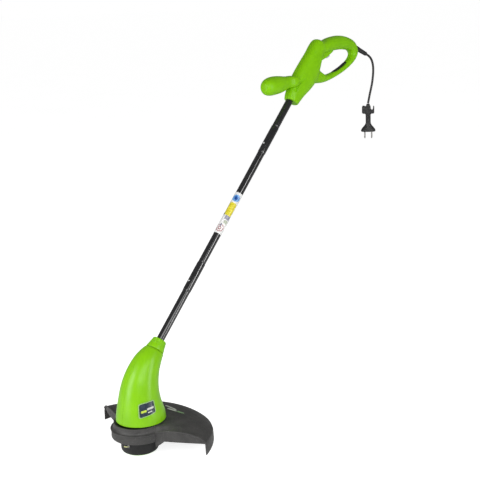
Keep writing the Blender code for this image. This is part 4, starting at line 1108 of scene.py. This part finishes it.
def label():
    """A wrapped film with plain blocks of colour in place of print."""
    low, high = LABEL
    r = LABEL_RADIUS
    profile = [(9.2, high), (r, high), (r, low), (9.2, low)]
    mesh = lathe("label_wrap", rounded(profile, 0.08), 96, place=SHAFT_PLACE)
    piece(mesh, FILM, node="label_sleeve", sharp=50)

    def patch(along, turn, half_length, half_turn):
        def place(x, y, lift):
            angle = math.radians(turn + x * half_turn)
            radius = r * MM + lift
            aside = Vector((math.cos(angle), 0, 0)) * radius
            return on_shaft(along + y * half_length) + aside + SHAFT_FRONT * (radius * math.sin(angle))

        return place

    base, thick = 0.005, 0.1
    # (name, along, turn, half length, half turn), layer, material, squareness and hole.
    patches = (
        (("disc", 502, 52, 9.5, 62), 0, BLUE, 2, 0),
        (("core", 502, 54, 5, 26), 1, DEEP_BLUE, 2, 0),
        (("block_1", 470.5, 50, 18, 60), 0, YELLOW, 9, 0),
        (("block_4", 455, 112, 3.5, 14), 0, NAVY, 8, 0),
        (("block_2", 447, 26, 5.5, 42), 0, LILAC, 8, 0),
        (("block_3", 435, 20, 4.5, 30), 0, SAGE, 8, 0),
        (("ring", 416.5, 60, 10, 58), 0, ROSE, 2, 0.78),
        (("inner_ring", 416, 64, 5, 26), 0, ROSE, 2, 0.5),
        (("dot", 424, 66, 5.0, 12), 0, LILAC, 2, 0),
    )
    for (name, *lie), layer, mat, power, hole in patches:
        start = base + layer * thick
        decal(f"label_{name}", patch(*lie), start, thick, mat, power=power, hole=hole)


# --- handle


def oval_rings(sections, rings, count):
    """Rings of points round a smooth run of ovals."""
    bends = [squared(angle, 2 / OVAL_POWER) for angle in turns(count, 0.5)]
    skins = []
    for y1, z1, y2, z2, half in smooth(sections, rings):
        centre = Vector((0, (y1 + y2) / 2, (z1 + z2) / 2))
        reach = Vector((0, (y1 - y2) / 2, (z1 - z2) / 2))
        skins.append([centre + reach * c + Vector((half * MM * s, 0, 0)) for c, s in bends])
    return skins


def relaxed(mesh, places, rounds):
    """Smooths the skin round some (y, z, reach) places, where two forms meet."""
    points = points_of(mesh)
    count = len(points)
    ends = np.empty(len(mesh.edges) * 2, dtype=np.int64)
    mesh.edges.foreach_get("vertices", ends)
    one, other = ends[0::2], ends[1::2]
    degree = np.bincount(ends, minlength=count)
    weight = np.zeros(count)
    for y, z, reach in places:
        away = np.hypot(points[:, 1] - y, points[:, 2] - z) / reach
        weight = np.maximum(weight, np.clip(1 - away, 0, 1) * 2)
    weight = np.clip(weight, 0, 1) * 0.7
    for _ in range(rounds):
        for axis in range(3):
            values = points[:, axis]
            total = np.bincount(one, values[other], count) + np.bincount(other, values[one], count)
            points[:, axis] = values + weight * (total / degree - values)
    mesh.vertices.foreach_set("co", points.ravel())
    mesh.update()


def points_of(mesh, layer="co"):
    """The vertices' places, or their normals, as rows of an array."""
    values = np.empty(len(mesh.vertices) * 3)
    mesh.vertices.foreach_get(layer, values)
    return values.reshape(-1, 3)


def creased(mesh):
    """Presses the soft fold into the body's sides and a fine groove along the seam."""
    points, normals = points_of(mesh), points_of(mesh, "normal")
    x, y, z = np.abs(points[:, 0]), points[:, 1], points[:, 2]
    nearest = np.ones(len(points))
    for (y0, z0), (y1, z1) in zip(CREASE, CREASE[1:]):
        dy, dz = y1 - y0, z1 - z0
        t = np.clip(((y - y0) * dy + (z - z0) * dz) / (dy * dy + dz * dz), 0, 1)
        nearest = np.minimum(nearest, np.hypot(y - y0 - dy * t, z - z0 - dz * t))
    fade = np.clip((CREASE[-1][0] - y) / 0.02, 0, 1) * np.clip((x - 4 * MM) / (6 * MM), 0, 1)
    depth = CREASE_DEPTH * fade * np.exp(-((nearest / CREASE_WIDTH) ** 2))
    depth += SEAM_DEPTH * np.clip(1 - x / SEAM_REACH, 0, 1)
    mesh.vertices.foreach_set("co", (points - normals * depth[:, None]).ravel())
    mesh.update()


def handle():
    """Two moulded shells, split at a fine seam, with the trigger's slot and the shaft's bore.
    Returns the right shell."""
    body = loft("handle_body", oval_rings(BODY_SECTIONS, 90, 72))
    loop = loft("handle_loop", oval_rings(LOOP_SECTIONS, 170, 56))
    work = bmesh.new()
    work.from_mesh(body)
    work.from_mesh(loop)
    work.to_mesh(body)
    work.free()
    remesh = {"mode": "VOXEL", "voxel_size": HANDLE_VOXEL, "use_smooth_shade": True}
    solid = changed(body, ("REMESH", remesh), ("SMOOTH", {"factor": 0.6, "iterations": 14}))
    relaxed(solid, JUNCTIONS, 90)
    creased(solid)
    bore, mouth = (
        lathe(name, [(0, top), (narrow, top), (wide, 780), (0, 780)], 72, ring=False, place=SHAFT_PLACE)
        for name, top, narrow, wide in (("bore", 850, 9.3, 9.3), ("mouth", 792, 9.4, 11.5))
    )
    slot = flat_outline("slot", TRIGGER_SLOT, TRIGGER_HALF + SLOT_GAP, 0.3 * MM)
    solid = cut(solid, bore, mouth, slot)
    for side, way in ((1, "left"), (-1, "right")):
        half = cut(solid, block("other_side", (200, 600, 600), (side * (0.18 - 100), 700, 800)))
        half.name = f"handle_shell_{way}"
        shell = piece(half, LIME_SHADED, node=f"handle_{way}", sharp=40)
    return shell


def front_handle():
    """The bulb-shaped front handle."""
    rings = []
    for y, z, wide, high, power in smooth(FRONT_HANDLE_STATIONS, 60):
        bends = [squared(angle, 2 / power) for angle in turns(64, 0.5)]
        rings.append([Vector((c * wide * MM, y, z + s * high * MM)) for c, s in bends])
    tip_y, tip_z = FRONT_HANDLE_TIP
    last = rings[-1]
    centre = sum(last, Vector()) / len(last)
    for k in range(1, 8):
        t = k / 8
        shrink = math.sqrt(1 - t * t)
        y = centre.y + (tip_y - centre.y) * t
        drop = (centre.z - tip_z) * (1 - t)
        rings.append([
            Vector((p.x * shrink, y, tip_z + (p.z - centre.z) * shrink + drop)) for p in last
        ])
    mesh = loft("front_grip", rings, end_point=Vector((0, tip_y, tip_z)))
    piece(mesh, LIME_SHADED, node="front_handle", sharp=50)


def trigger():
    """The trigger with rounded edges and a pale tab under it."""
    outline = rounded(TRIGGER_OUTLINE, 3 * MM, cuts=5)
    mesh = flat_outline("trigger_lever", outline, TRIGGER_HALF, 1.8 * MM)
    piece(mesh, LIME_SHADED, "trigger", "trigger", sharp=40)
    tab = block("trigger_tab", (7, 13, 5), (0, 731, 824.2), (math.radians(20), 0, 0), bevel=1.2)
    piece(tab, TAB, "trigger", sharp=40)


def bar_insert():
    """A near-black strip along the inner edge of the lower bar, painted shade for the dark slot there."""
    path = smooth([(s[2], s[3], 0) for s in LOOP_SECTIONS[7:12]], 60)
    path = smooth([p for p in path if BAR_SLOT_SHADE[0] < p.x < BAR_SLOT_SHADE[1]], 60)
    rings = []
    for i, p in enumerate(path):
        ahead = path[min(i + 1, 59)] - path[max(i - 1, 0)]
        up = Vector((0, -ahead.y, ahead.x)).normalized()
        if up.z < 0:
            up = -up
        t = i / 59
        half = 6.5 * MM * math.sqrt(max(1 - (2 * t - 1) ** 6, 0.02))
        rings.append([
            Vector((half * math.cos(a), p.x, p.y)) + up * (0.9 * MM * math.sin(a) - 0.25 * MM)
            for a in turns(24)
        ])
    mesh = loft("bar_insert", rings)
    piece(mesh, CAP, sharp=60)


def handle_screws(shell):
    """Screws on the right shell, which holds the two halves together."""
    for number, (y, z) in enumerate(HANDLE_SCREWS, 1):
        hit, where, normal, _ = shell.ray_cast(Vector((-0.1, y, z)), Vector((1, 0, 0)))
        if hit:
            screw(f"handle_screw_{number}", where - normal * 0.6 * MM, normal, 3.0)


def slit_shade_ring():
    """A near-black ring that closes the slit between the housing and the guard's collar: painted shade for
    the dark seam under the housing.
    """
    place = Matrix.Translation((0, HOUSING_STATIONS[0][0] * MM, 0))
    piece(lathe("slit_shade_ring", SLIT_SHADE_PROFILE, 72, place=place), CAP)


def spring(name, node, body, y, radius, wire, low, high, turned):
    """A coil spring, built at one fixed length between two heights."""
    points = []
    for i in range(turned * COIL_STEPS + 1):
        angle = math.tau * i / COIL_STEPS
        rise = low + (high - low) * i / (turned * COIL_STEPS)
        points.append((radius * math.cos(angle), y + radius * math.sin(angle), rise))
    coil = piece(tube_along(name, points, wire, 8), STEEL, body, node, sharp=60)
    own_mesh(coil)


def springs():
    """The bump knob's return spring and the trigger's return spring, both inside."""
    spring(
        "feed_coil", "feed_spring", "spindle", 0, 12 * MM, 0.6 * MM, 0.0294, 0.0331, 3,
    )
    spring(
        "trigger_coil", "trigger_spring", "trimmer", TRIGGER_SPRING_Y, 2.3 * MM, 0.45 * MM,
        0.84795, 0.868, 4,
    )


def repaint():
    """Gives each CAD node that stays a material with detail."""
    paints = (
        (IRON, ("motor_field", "armature")),
        (COPPER, ("commutator",)),
        (CARBON, ("carbon_brush_1", "carbon_brush_2")),
        (STEEL, ("bearing_lower", "bearing_upper", "motor_shaft", "trigger_pin")),
        (CAP, ("motor_base", "motor_end_cap", "cooling_fan", "spool_hub", "switch_body")),
        (SPOOL, ("line_spool", "switch_plunger")),
        (NYLON, ("line_winding",)),
        (RUBBER, ("shaft_cable",)),
    )
    for mat, names in paints:
        for name in names:
            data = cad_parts[name].data
            data.materials.clear()
            data.materials.append(mat)


camera()
lead()
floor()
studio()
housing()
badge()
neck()
guard()
guard_marks()
line_cutter()
spool_cover()
shaft()
label()
right_shell = handle()
front_handle()
trigger()
bar_insert()
springs()
slit_shade_ring()
bpy.context.view_layer.update()
handle_screws(right_shell)
repaint()
